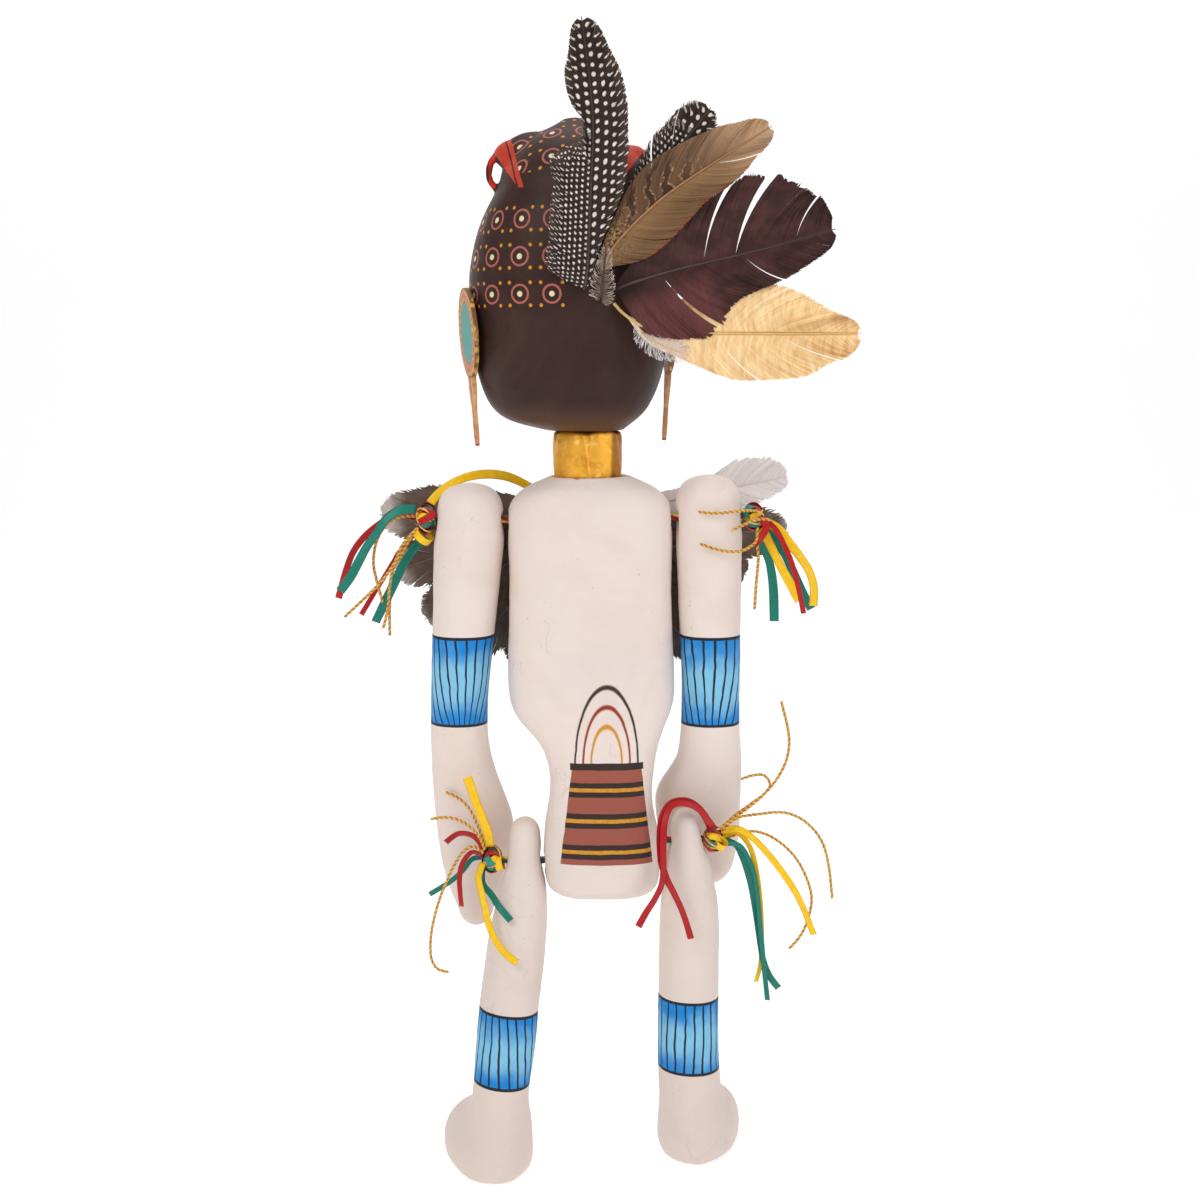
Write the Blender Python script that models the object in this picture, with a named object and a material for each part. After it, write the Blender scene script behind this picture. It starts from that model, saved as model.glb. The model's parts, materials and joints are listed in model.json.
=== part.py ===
"""Papier-mache skeleton figure with a plumed head, feather collar and ribbon ties.

The figure stands on its flat soles and looks along +Y, so its painted back faces -Y.
X is to its right, Z is up, and the origin is below the middle of its bounding box.
"""
import math
from collections import namedtuple

import bmesh
import bpy
from mathutils import Matrix, Vector

# Driving dimensions in metres
FIGURE_HEIGHT = 0.638      # floor to crown, without the plumes
CLEARANCE = 0.0003         # gap between pieces that touch
DISC_RADIUS = 0.0265       # ear ornament
PENDANT_LENGTH = 0.0415
PENDANT_WIDTH = 0.014
PENDANT_WAVE = 0.0012      # height of the waves in the pendant's edges
CARD_THICKNESS = 0.0025
SHAFT_THICKNESS = 0.0018   # feather at its shaft
BUNDLE_RADIUS = 0.0026     # ribbons and cords threaded through a limb
BUNDLE_INSERTION = 0.009   # how far a bundle reaches into the torso
CORD_DIAMETER = 0.002
BROAD = 0.0056             # widths of the ribbons, the last one folded lengthwise
NARROW = 0.0042
FOLDED = 0.0032
RIBBON_THICKNESS = 0.0004
NECK_SOCKET_DEPTH = 0.004
COLLAR_THICKNESS = 0.0035

# The tables below give the figure's free form in thousandths of a metre at its real height.
UNIT = FIGURE_HEIGHT / 638

COLLECTION = "papier_mache_figure"
HELPERS = "helpers"

# A horizontal slice through a limb: its height, its middle, its half sizes and its turn in degrees
Slice = namedtuple("Slice", "z x y wide deep turn", defaults=[0])
# A rounded end beyond the last slice: its height, and the roundness of its two profiles
Dome = namedtuple("Dome", "height wide_power deep_power")
# A ball that is part of a casting, such as a thumb
Lobe = namedtuple("Lobe", "middle radii")

TORSO = [
    Slice(182, 1.5, 0, 35.6, 26.5),
    Slice(198, 1.2, 0, 36.3, 27),
    Slice(214, 0.4, 0, 35.0, 26),
    Slice(228, 0, 0, 32.1, 25),
    Slice(242, 0.9, 0, 31.1, 24.5),
    Slice(257, 1.0, 0, 33.2, 25.2),
    Slice(270, -1.0, 0, 38.0, 26.3),
    Slice(279, -4, 0, 44.6, 27),
    Slice(288, -5, 0, 49.6, 27.6),
    Slice(300, -5.2, 0, 51.8, 28),
    Slice(335, -5.8, 0, 50.2, 28),
    Slice(370, -5.8, 0, 48.9, 27.5),
    Slice(405, -6, 0, 49.9, 26.5),
]
TORSO_SQUARENESS = 2.9
TORSO_BOTTOM = Dome(13, 2.6, 2.2)
TORSO_TOP = Dome(24.5, 2.6, 4)

NECK_MIDDLE = (-7.5, 0)
NECK_RADII = (20.8, 18)
NECK_SEAT = (3, 1)         # how much wider and deeper than the neck the torso's top is

HEAD = [
    Slice(457, -8.5, 1, 22, 19.5),
    Slice(462, -16, 3, 36, 33),
    Slice(469.5, -18, 5, 46.5, 42),
    Slice(485, -18, 7, 54, 49),
    Slice(503, -18.2, 8, 58, 53),
    Slice(535, -19.2, 8, 59.3, 54.5),
    Slice(557, -19, 7, 58, 54),
    Slice(580, -18, 6, 52.5, 51),
    Slice(597, -14.8, 6, 46, 46.5),
    Slice(608, -14.5, 6, 43.5, 43),
]
HEAD_SQUARENESS = 2.15
HEAD_TOP = Dome(30, 1.4, 1.5)
HELMET_CORNERS = [
    Lobe((-51.5, 6, 617.5), (11, 13, 8.5)),
    Lobe((-38, 6, 617), (20, 16, 14)),
    Lobe((19.5, 6, 613), (10, 13, 10)),
]
# The curl that stands off the left corner, from above, with a small gap behind it
CORNER_CURL = [(-57, 8, 619), (-62.5, 8, 616.5), (-65.4, 8, 610), (-65, 8, 603), (-60, 8, 597)]
CURL_RADIUS = 2.0
# The face opening's rim is an oval on the front of the head
FACE_MIDDLE = (-19, 536)
FACE_RIM_RADII = (38, 50)
FACE_RIM_THICKNESS = 3.2
EYE_SOCKETS = [Lobe((-35, 62, 548), (10, 9, 11)), Lobe((-3, 62, 548), (10, 9, 11))]
NOSE_SOCKET = Lobe((-19, 63, 526), (5, 6, 8))

ARM_LEFT = [
    Slice(151, -79.8, 36, 11.8, 10.5),
    Slice(167, -80.5, 36, 18.3, 12),
    Slice(185, -79.7, 36, 23.2, 13),
    Slice(203, -78.8, 33.5, 25.6, 14.5),
    Slice(219, -81.2, 30.5, 24.3, 15.5),
    Slice(236, -84.7, 26, 21.3, 16.5),
    Slice(252, -86.7, 20, 18.9, 17),
    Slice(272, -87.3, 12, 17.9, 17),
    Slice(300, -85.8, 3, 17.8, 17.3),
    Slice(331, -83.2, 0, 18.9, 18.5),
    Slice(357, -81.2, 0, 20, 19.4),
    Slice(385, -79.3, 0, 21.5, 20.5),
    Slice(408, -78, 0, 20.3, 19.8),
]
ARM_LEFT_ENDS = (Dome(13, 2, 2), Dome(17, 2.5, 2.5))
ARM_LEFT_THUMB = Lobe((-66, 44, 205), (9, 9, 18))

ARM_RIGHT = [
    Slice(182, 64.3, 36, 22.2, 12.5),
    Slice(197, 63.2, 35, 26.2, 14),
    Slice(215, 62.2, 32, 27.6, 15),
    Slice(227, 61.8, 28.5, 27.8, 15.5),
    Slice(237, 63.8, 25.5, 25.8, 16),
    Slice(247, 67.2, 21.5, 21.8, 16.4),
    Slice(257, 68.8, 17.5, 19.5, 16.7),
    Slice(278, 68.3, 9.5, 18.5, 17),
    Slice(304, 67.8, 2, 17.8, 17.4),
    Slice(331, 66.9, 0, 18.6, 18.5),
    Slice(358, 66.3, 0, 19.3, 19),
    Slice(386, 65.8, 0, 19.9, 19.5),
    Slice(413, 65.2, 0, 20.2, 19.8),
]
ARM_RIGHT_ENDS = (Dome(18, 2, 2), Dome(17, 2.5, 2.5))
ARM_RIGHT_THUMB = Lobe((50, 43, 214), (9.5, 9, 20))

LEG_LEFT = [
    Slice(0, -70.5, 3, 27, 50, 10),
    Slice(5, -71, 3, 28.5, 51.5, 10),
    Slice(13, -70.8, 2, 28, 50, 10),
    Slice(21, -69.2, -1, 26, 45, 9),
    Slice(29, -66, -7, 22.8, 35.5, 7),
    Slice(37, -63.2, -14.5, 19.2, 25.5, 3),
    Slice(46, -61.8, -20.5, 17.4, 18.5),
    Slice(60, -60.6, -19, 17.8, 17.8),
    Slice(81, -58, -16, 19, 18.6),
    Slice(100, -56.7, -14, 18.6, 18.4),
    Slice(120, -54, -11.5, 18.9, 18.6),
    Slice(154, -50, -7.5, 18, 18),
    Slice(173, -47.7, -5, 14.9, 16),
    Slice(192, -46.6, -2.5, 10.9, 12.5),
    Slice(208, -46.3, -1, 9.4, 10.5),
]
LEG_LEFT_TOP = Dome(11, 2.4, 2.4)

LEG_RIGHT = [
    Slice(0, 63.8, 27, 26, 48, -9),
    Slice(5, 64, 27, 27, 49.5, -9),
    Slice(13, 63.8, 26, 26.5, 48, -9),
    Slice(21, 62.8, 22, 25.2, 43, -8),
    Slice(29, 60.8, 15.5, 23, 34, -6),
    Slice(38, 57.8, 6.5, 20.4, 25, -3),
    Slice(47, 56.3, 0.5, 19.7, 20),
    Slice(78, 55, 0, 19.3, 19.3),
    Slice(104, 55.5, 0, 19.1, 19),
    Slice(157, 55.7, 0, 19, 18.8),
    Slice(171, 55.3, 0, 17.3, 17.6),
    Slice(189, 54.2, 0, 14, 15),
    Slice(204, 53.5, 0, 10.6, 12.5),
    Slice(213, 52.5, 0, 8.7, 10.5),
]
LEG_RIGHT_TOP = Dome(11, 2.4, 2.4)
LIMB_SQUARENESS = 2.1

# Ear ornaments: the disc's middle, how far it faces back or forward, and its lean
Ear = namedtuple("Ear", "name middle turn lean")
EARS = [
    Ear("ear_ornament_left", (-77.6, -4, 514), 180 + 14, -4),
    Ear("ear_ornament_right", (42.8, 27, 516), 5, 3),
]

# Plumes: where the head holds the root (x, z), points along the shaft, both vanes' widths
Plume = namedtuple("Plume", "name color root spine upper lower")
PLUMES = [
    Plume("plume_guinea_tall", (0.06, 0.045, 0.04),
          (-9, 538), [(-7, -55, 549), (-5, -62.5, 592), (-4, -67.5, 631), (-10, -73, 681)],
          [15, 23, 22.5, 22, 21, 22, 5, 11, 13, 9, 1],
          [1, 3, 7, 13, 18, 19, 19, 19, 17, 12, 1]),
    Plume("plume_guinea_short", (0.06, 0.045, 0.04),
          (9, 553), [(14, -51, 562), (36, -54, 602), (61, -57, 636)],
          [1, 5, 11, 14, 15, 16, 14, 3],
          [1, 3, 7, 10, 11, 11, 10, 3]),
    Plume("plume_pheasant", (0.16, 0.1, 0.05),
          (1, 549), [(8.5, -54, 562), (24, -58, 578), (40, -60.5, 591), (63, -62.5, 606),
                    (94, -64, 625)],
          [1, 5, 9, 14, 18, 19.5, 18.5, 17, 15, 11, 2],
          [1, 12, 18, 20, 19.5, 17.5, 15, 15, 13, 9, 2]),
    Plume("plume_burgundy", (0.05, 0.012, 0.02),
          (9, 538), [(17, -51, 541), (45, -54.5, 549), (89, -58.5, 559), (130, -62, 570)],
          [1, 8, 17, 25, 28, 33, 38, 41, 37, 29, 3],
          [1, 22, 34, 38, 40, 27, 22, 20, 17, 13, 3]),
    Plume("plume_gold", (0.6, 0.38, 0.12),
          (8, 530), [(15, -47, 523), (30, -49, 515), (57, -53, 513.5), (101, -57, 513),
                    (146, -59, 513)],
          [1, 6, 13, 20, 25, 28, 28, 26, 20, 12, 2],
          [1, 5, 10, 14, 20, 25, 26, 25, 23, 16, 3]),
    Plume("plume_down", (0.22, 0.17, 0.14),
          (0, 531), [(1, -61, 534), (2, -66, 547), (3.5, -65, 560)],
          [1, 5, 7, 7, 5, 1],
          [1, 5, 7, 7, 5, 1]),
]

# The collar is a fan of feathers on the chest, seen past both arms
COLLAR_MIDDLE = (-5, 29.5, 401)
COLLAR_START = -189        # degrees, at the figure's left shoulder
COLLAR_END = 20
COLLAR_FEATHERS = 13
COLLAR_REACH = [128, 134, 122, 122, 106, 106, 108, 108, 108, 106, 101, 108, 134, 112]
COLLAR_RIDGE = 1.6
COLLAR_HUB = 8

# Ties: which limb and way the bundle runs, the knot's middle and half sizes
Tie = namedtuple("Tie", "name limb knot radii side tails")
# A ribbon or cord that hangs free of a knot: its width, colour and chosen points
Tail = namedtuple("Tail", "name color width points")

GREEN = (0.0, 0.14, 0.1)
RED = (0.5, 0.006, 0.008)
YELLOW = (0.85, 0.5, 0.0)
GOLD = (0.7, 0.42, 0.08)
CREAM = (0.8, 0.72, 0.63)
DARK_BROWN = (0.1, 0.065, 0.058)
CARD_TAN = (0.45, 0.24, 0.12)
GREY_FEATHER = (0.3, 0.26, 0.23)
TIES = [
    Tie("tie_shoulder_left", "arm_left", (-104.5, 0, 403.5), (5.2, 8, 8.5), 1, [
        Tail("green_1", GREEN, BROAD,
             [(-108, -2, 407), (-114, -3, 412), (-120, -4, 409), (-128, -5, 404), (-135, -6, 394),
              (-142, -7, 384), (-148, -8, 372), (-156, -9, 361)]),
        Tail("red_1", RED, NARROW,
             [(-109, 3, 403), (-116, 4, 406), (-126, 5, 404), (-136, 6, 398), (-144, 7, 391),
              (-152, 8, 379), (-160, 10, 354)]),
        Tail("yellow_1", YELLOW, BROAD,
             [(-102, 1, 413), (-97, 8, 419), (-88, 14, 425), (-79, 19, 428), (-70, 23, 429),
              (-60, 27, 428), (-52, 30, 425), (-46, 32, 422), (-41, 33, 419)]),
        Tail("gold_1", GOLD, CORD_DIAMETER,
             [(-110, 0.8, 405), (-118, 0.8, 405), (-125, 1, 403), (-132, 1, 396), (-136, 1, 386),
              (-137, 1, 375), (-135, 1, 365), (-132, 1, 353)]),
        Tail("gold_2", GOLD, CORD_DIAMETER,
             [(-108, -6, 400), (-114, -7, 394), (-120, -8, 386), (-123, -9, 378), (-131, -11, 367),
              (-141, -12, 357), (-153, -13, 346)]),
        Tail("gold_3", GOLD, CORD_DIAMETER,
             [(-108, -3, 397), (-113, -3, 393), (-120, -3.4, 382), (-125, -4, 373),
              (-127, -4.5, 361), (-128, -5, 350), (-131, -5, 338)]),
        Tail("gold_4", GOLD, CORD_DIAMETER,
             [(-107, 5.5, 394), (-115, 6, 385), (-125, 7, 375), (-128, 9, 358), (-129, 10, 345),
              (-129, 10, 331)]),
        Tail("red_2", RED, FOLDED,
             [(-110, 7.5, 398), (-115, 9, 391), (-121, 10, 384), (-130, 12, 370), (-139, 14, 356),
              (-147, 15, 343)]),
        Tail("green_2", GREEN, BROAD,
             [(-106, 0.5, 392), (-110, 0.8, 388), (-116, 1.4, 381), (-124, 4, 366),
              (-132, 4.5, 350), (-137, 5, 340)]),
    ]),
    Tie("tie_shoulder_right", "arm_right", (92.2, 0, 404.7), (5.2, 8.5, 7), -1, [
        Tail("gold_1", GOLD, CORD_DIAMETER,
             [(94, -8, 409), (88, -15, 410), (81, -20, 410), (68, -23, 409), (58, -23, 410)]),
        Tail("gold_2", GOLD, CORD_DIAMETER,
             [(94, -9, 399), (94, -11, 393), (90, -15, 389), (85, -20, 387), (78, -22.5, 386),
              (68, -23, 388), (59, -23, 391)]),
        Tail("gold_3", GOLD, CORD_DIAMETER,
             [(94, -4, 397), (94, -6, 391), (95, -8, 380), (94, -8, 369), (93, -8, 350)]),
        Tail("red_1", RED, FOLDED,
             [(96, -5, 406), (103, -8, 401), (110, -10, 389), (115, -12, 377), (119, -13, 362),
              (122, -13, 348)]),
        Tail("yellow_1", YELLOW, BROAD,
             [(96, -2.2, 401), (102, -3, 389), (109, -5, 375), (120, -8, 355)]),
        Tail("yellow_2", YELLOW, BROAD,
             [(97, 2, 403), (106, 2, 399), (115, 1, 388), (124, 0, 376), (129, -1, 365),
              (129, -2, 351)]),
        Tail("green_1", GREEN, BROAD,
             [(95, 1, 396), (98, 2, 388), (102, 2, 379), (105, 2, 363), (106, 2, 341)]),
        Tail("green_2", GREEN, BROAD,
             [(98, 5, 398), (104, 6, 391), (111, 7, 384), (118, 7, 370), (123, 7, 359),
              (129, 6, 348)]),
    ]),
    Tie("tie_hip_left", "leg_left", (-66.5, -1, 192), (5, 7.5, 7), 1, [
        Tail("yellow_1", YELLOW, BROAD,
             [(-68, -2, 199), (-69, -5, 210), (-74, -7, 225), (-81, -8, 246)]),
        Tail("yellow_2", YELLOW, NARROW,
             [(-72, -8, 192), (-74, -12, 188), (-74, -17, 182), (-71, -22, 174), (-69, -26, 166),
              (-66, -30, 156), (-59, -33, 145), (-50, -35, 138)]),
        Tail("red_1", RED, NARROW,
             [(-71, 3, 195), (-74, 4, 202), (-82, 5, 207), (-91, 6, 206), (-96, 6, 201)]),
        Tail("red_2", RED, FOLDED,
             [(-72, 1, 193), (-76, 1, 198), (-80, 0.5, 196), (-85, 0, 190), (-87, 0, 182),
              (-87, -1, 173), (-86, -1, 162)]),
        Tail("green_1", GREEN, FOLDED,
             [(-72, 5, 192), (-77, 6, 193), (-82, 7, 187), (-88, 8, 180), (-95, 9, 174),
              (-107, 11, 166)]),
        Tail("green_2", GREEN, NARROW,
             [(-72.5, -3.5, 188.5), (-74, -6, 185), (-72.5, -9, 180), (-67, -15, 175),
              (-61, -24, 169), (-54, -28, 162)]),
        Tail("gold_1", GOLD, CORD_DIAMETER,
             [(-70, 4.5, 197), (-75, 6, 209), (-80, 8, 220), (-87, 9, 228), (-96, 10, 232)]),
        Tail("gold_2", GOLD, CORD_DIAMETER,
             [(-71, -6, 200), (-74, -9, 209), (-79, -10, 215), (-86, -11, 220), (-94, -12, 222),
              (-103, -12, 221)]),
        Tail("gold_3", GOLD, CORD_DIAMETER,
             [(-72, -3, 197), (-80, -4, 202), (-85, -5, 197), (-90, -5, 190), (-94, -6, 181),
              (-99, -7, 169), (-104, -8, 150), (-105, -8, 134), (-102, -8, 125), (-94, -8, 122)]),
    ]),
    Tie("tie_hip_right", "leg_right", (69.8, -0.5, 205), (5, 8, 6.5), -1, [
        Tail("red_1", RED, NARROW,
             [(70, -5, 213), (66, -11, 220), (60, -14, 228), (52, -16, 232), (43, -19, 231),
              (39, -24, 223), (38, -28, 209), (38, -31, 195), (36, -33, 183), (28, -35, 170),
              (23, -36, 161)]),
        Tail("red_2", RED, NARROW,
             [(68, -3.3, 212), (65, -8.7, 220), (59, -11.5, 229), (52, -13.5, 233), (42, -17, 232),
              (37, -22, 224), (36, -26, 209), (38, -28.7, 194), (43, -29, 183), (50, -30, 168),
              (55, -32, 152)]),
        Tail("yellow_1", YELLOW, NARROW,
             [(74, 0, 208), (78, -1, 212), (88, -3, 211), (100, -5, 201), (113, -7, 185),
              (123, -9, 169), (132, -10, 147)]),
        Tail("yellow_2", YELLOW, FOLDED,
             [(75, 4, 204), (83, 5, 208), (89, 5, 205), (95, 5, 194), (99, 5, 174), (101, 5, 150),
              (101, 5, 124), (98, 5, 111)]),
        Tail("green_1", GREEN, NARROW,
             [(74, 1.5, 202), (79, 1.8, 205), (86, 2, 198), (93, 2, 179), (97, 2, 159),
              (101, 2, 132), (105, 2, 118), (112, 2, 108)]),
        Tail("green_2", GREEN, FOLDED,
             [(74, -2, 202), (82, -1.6, 203), (89, -1, 198), (96, -0.6, 181), (99, -0.5, 157),
              (102, -0.5, 127), (105, -0.5, 101)]),
        Tail("gold_1", GOLD, CORD_DIAMETER,
             [(72, -7, 213), (78, -9, 218), (87, -11, 225), (99, -13, 236), (107, -14, 246),
              (113, -15, 259), (114, -16, 274), (109, -17, 295)]),
        Tail("gold_2", GOLD, CORD_DIAMETER,
             [(74, 7.5, 207), (80, 9, 214), (92, 11, 223), (103, 12, 231), (106, 12, 237),
              (101, 12, 243), (94, 12, 242), (88, 12, 240)]),
        Tail("gold_3", GOLD, CORD_DIAMETER,
             [(74, -4, 208), (81, -5, 218), (88, -6, 221), (100, -7, 223), (113, -8, 224),
              (125, -9, 219), (135, -10, 208), (140, -10, 193), (143, -10, 170)]),
        Tail("gold_4", GOLD, CORD_DIAMETER,
             [(75, 7.5, 201), (89, 8.5, 207), (102, 9, 206), (115, 9, 198), (125, 9, 186),
              (132, 9, 169), (132, 9, 156), (127, 9, 141), (119, 9, 131)]),
    ]),
]

TORSO_SIDES = 16
HEAD_SIDES = 20
LIMB_SIDES = 14
FACE_RIM_SIDES = 20
DISC_SIDES = 18
PENDANT_STEPS = 6
DOME_STEPS = (0.4, 0.7, 0.9)
DOME_CAP = 0.15            # size of the flat at a rounded end
CURVE_STEPS = 4            # points between two chosen ones, before a tail is spaced evenly
CORD_SPACING = 0.0075
RIBBON_SPACING = 0.01
BORE_SIDES = 10


def material(name, color, roughness=0.7, metallic=0.0):
    """A Principled BSDF material of one colour."""
    made = bpy.data.materials.get(name) or bpy.data.materials.new(name)
    made.use_nodes = True
    shader = made.node_tree.nodes["Principled BSDF"]
    shader.inputs["Base Color"].default_value = (*color, 1)
    shader.inputs["Roughness"].default_value = roughness
    shader.inputs["Metallic"].default_value = metallic
    return made


def new_collection(name):
    made = bpy.data.collections.new(name)
    bpy.context.scene.collection.children.link(made)
    return made


def add_object(name, data, owner, surface=None):
    """Link an object for a mesh or curve into a collection."""
    obj = bpy.data.objects.new(name, data)
    bpy.data.collections[owner].objects.link(obj)
    if surface:
        data.materials.append(surface)
    return obj


def add_part(name, data, surface):
    return add_object(name, data, COLLECTION, surface)


def add_helper(name, data):
    """A solid that only cuts or extends another one."""
    obj = add_object(name, data, HELPERS)
    obj.hide_render = True
    obj.display_type = "WIRE"
    return obj


def combine(obj, helper, operation):
    """Unite a helper with an object, or cut it out of it."""
    modifier = obj.modifiers.new(f"{operation.lower()} {helper.name}", "BOOLEAN")
    modifier.operation = operation
    modifier.object = helper


def mesh_from(bm, name):
    bmesh.ops.recalc_face_normals(bm, faces=bm.faces)
    mesh = bpy.data.meshes.new(name)
    bm.to_mesh(mesh)
    bm.free()
    return mesh


def through(points, steps):
    """Points on a smooth curve through the given points, with `steps` pieces between two."""
    padded = [points[0], *points, points[-1]]
    curve = []
    for before, start, end, after in zip(padded, padded[1:], padded[2:], padded[3:]):
        for step in range(steps):
            t = step / steps
            curve.append(tuple(
                0.5 * (2 * b + (c - a) * t + (2 * a - 5 * b + 4 * c - d) * t ** 2
                       + (3 * b - a - 3 * c + d) * t ** 3)
                for a, b, c, d in zip(before, start, end, after)))
    return curve + [tuple(points[-1])]


def domed(last, dome, way):
    """Slices that round off an end, upwards for way 1 and downwards for way -1."""
    slices = []
    for share in DOME_STEPS:
        wide = (1 - share ** dome.wide_power) ** (1 / dome.wide_power)
        deep = (1 - share ** dome.deep_power) ** (1 / dome.deep_power)
        slices.append(Slice(last.z + way * share * dome.height, last.x, last.y,
                            last.wide * wide, last.deep * deep))
    slices.append(Slice(last.z + way * dome.height, last.x, last.y,
                        last.wide * DOME_CAP, last.deep * DOME_CAP))
    return slices


def even(points, spacing):
    """The same route with points about a spacing apart."""
    reach = [0.0]
    for start, end in zip(points, points[1:]):
        reach.append(reach[-1] + (Vector(end) - Vector(start)).length)
    pieces = max(2, round(reach[-1] / spacing))
    spaced = []
    for number in range(pieces + 1):
        place = reach[-1] * number / pieces
        piece = max(index for index in range(len(points) - 1) if reach[index] <= place)
        share = (place - reach[piece]) / (reach[piece + 1] - reach[piece])
        spaced.append(Vector(points[piece]).lerp(Vector(points[piece + 1]), share))
    return spaced


def whole_form(slices, steps=1, bottom=None, top=None):
    """A table's slices made smooth, from its lower rounded end to its upper one."""
    form = [Slice(*values) for values in through(slices, steps)]
    if bottom:
        form = domed(form[0], bottom, -1)[::-1] + form
    if top:
        form = form + domed(form[-1], top, 1)
    return form


def outline(piece, square, sides):
    """The rounded-square outline of one slice, as points in metres."""
    points = []
    for number in range(sides):
        angle = 2 * math.pi * number / sides
        across, along = math.cos(angle), math.sin(angle)
        x = math.copysign(abs(across) ** (2 / square), across) * piece.wide
        y = math.copysign(abs(along) ** (2 / square), along) * piece.deep
        spoke = Matrix.Rotation(math.radians(piece.turn), 3, "Z") @ Vector((x, y, 0))
        points.append((Vector((piece.x, piece.y, piece.z)) + spoke) * UNIT)
    return points


def skin(rings, name):
    """A closed mesh over a row of outlines that have the same number of points."""
    bm = bmesh.new()
    rows = [[bm.verts.new(point) for point in ring] for ring in rings]
    for lower, upper in zip(rows, rows[1:]):
        for number in range(len(lower)):
            after = (number + 1) % len(lower)
            bm.faces.new((lower[number], lower[after], upper[after], upper[number]))
    bm.faces.new(rows[0])
    bm.faces.new(rows[-1])
    return mesh_from(bm, name)


def casting(name, form, square, sides, surface):
    mesh = skin([outline(piece, square, sides) for piece in form], name)
    mesh.shade_smooth()
    return add_part(name, mesh, surface)


def ball(name, lobe, segments=12):
    """A helper ellipsoid."""
    bm = bmesh.new()
    bmesh.ops.create_uvsphere(bm, u_segments=segments, v_segments=segments // 2 + 2, radius=1)
    place = Matrix.Translation(Vector(lobe.middle) * UNIT)
    size = Matrix.Diagonal((*(Vector(lobe.radii) * UNIT), 1))
    bmesh.ops.transform(bm, matrix=place @ size, verts=bm.verts)
    return add_helper(name, mesh_from(bm, name))


def tube_curve(name, points, radius, closed=False, roundness=2):
    """A round tube along points in metres."""
    curve = bpy.data.curves.new(name, "CURVE")
    curve.dimensions = "3D"
    curve.bevel_depth = radius
    curve.bevel_resolution = roundness
    curve.use_fill_caps = True
    spline = curve.splines.new("POLY")
    spline.points.add(len(points) - 1)
    for target, point in zip(spline.points, points):
        target.co = (*point, 1)
    spline.use_cyclic_u = closed
    return curve


def tube_mesh(name, points, radius, closed=False):
    """The same tube as a mesh helper, with its caps welded."""
    curve = add_helper(name + "_path", tube_curve(name + "_path", points, radius, closed))
    bpy.context.view_layer.update()
    evaluated = curve.evaluated_get(bpy.context.evaluated_depsgraph_get())
    mesh = bpy.data.meshes.new_from_object(evaluated)
    mesh.name = name
    bpy.data.objects.remove(curve)
    bm = bmesh.new()
    bm.from_mesh(mesh)
    bmesh.ops.remove_doubles(bm, verts=bm.verts, dist=1e-6)
    bmesh.ops.recalc_face_normals(bm, faces=bm.faces)
    bm.to_mesh(mesh)
    bm.free()
    return add_helper(name, mesh)


def slice_at(slices, height):
    """The table's slice at a height, between its two nearest ones."""
    for lower, upper in zip(slices, slices[1:]):
        if height <= upper.z:
            share = (height - lower.z) / (upper.z - lower.z)
            return Slice(*(a + (b - a) * share for a, b in zip(lower, upper)))
    return slices[-1]


def head_surface(x, z, way):
    """Where the head's surface lies along Y, on its front (1) or its back (-1)."""
    here = slice_at(HEAD, z)
    share = min(abs(x - here.x) / here.wide, 0.98)
    depth = here.deep * (1 - share ** HEAD_SQUARENESS) ** (1 / HEAD_SQUARENESS)
    return here.y + way * depth


def make_torso():
    form = whole_form(TORSO, 1, TORSO_BOTTOM, TORSO_TOP)[:-1]
    neck_seat = form[-1]._replace(z=TORSO[-1].z + TORSO_TOP.height)
    form.append(neck_seat._replace(wide=NECK_RADII[0] + NECK_SEAT[0],
                                   deep=NECK_RADII[1] + NECK_SEAT[1]))
    torso = casting("torso", form, TORSO_SQUARENESS, TORSO_SIDES, material("torso_paint", CREAM))
    seat_top = neck_seat.z * UNIT
    socket = cylinder("neck_socket", [radius * UNIT + CLEARANCE for radius in NECK_RADII],
                      seat_top - NECK_SOCKET_DEPTH, seat_top + NECK_SOCKET_DEPTH)
    combine(torso, add_helper("neck_socket", socket), "DIFFERENCE")
    return torso, seat_top


def cylinder(name, radii, low, high, sides=20):
    """An upright oval cylinder around the neck's axis, between two heights."""
    bm = bmesh.new()
    bmesh.ops.create_cone(bm, cap_ends=True, segments=sides, radius1=1, radius2=1, depth=high - low)
    middle = Vector((*(Vector(NECK_MIDDLE) * UNIT), (low + high) / 2))
    bmesh.ops.scale(bm, vec=(*radii, 1), verts=bm.verts)
    bmesh.ops.translate(bm, vec=middle, verts=bm.verts)
    return mesh_from(bm, name)


def make_neck(seat_top):
    radii = [radius * UNIT for radius in NECK_RADII]
    mesh = cylinder("neck", radii, seat_top - NECK_SOCKET_DEPTH + CLEARANCE,
                    HEAD[0].z * UNIT - CLEARANCE)
    add_part("neck", mesh, material("neck_gilding", GOLD, 0.4, 0.7))


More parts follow.
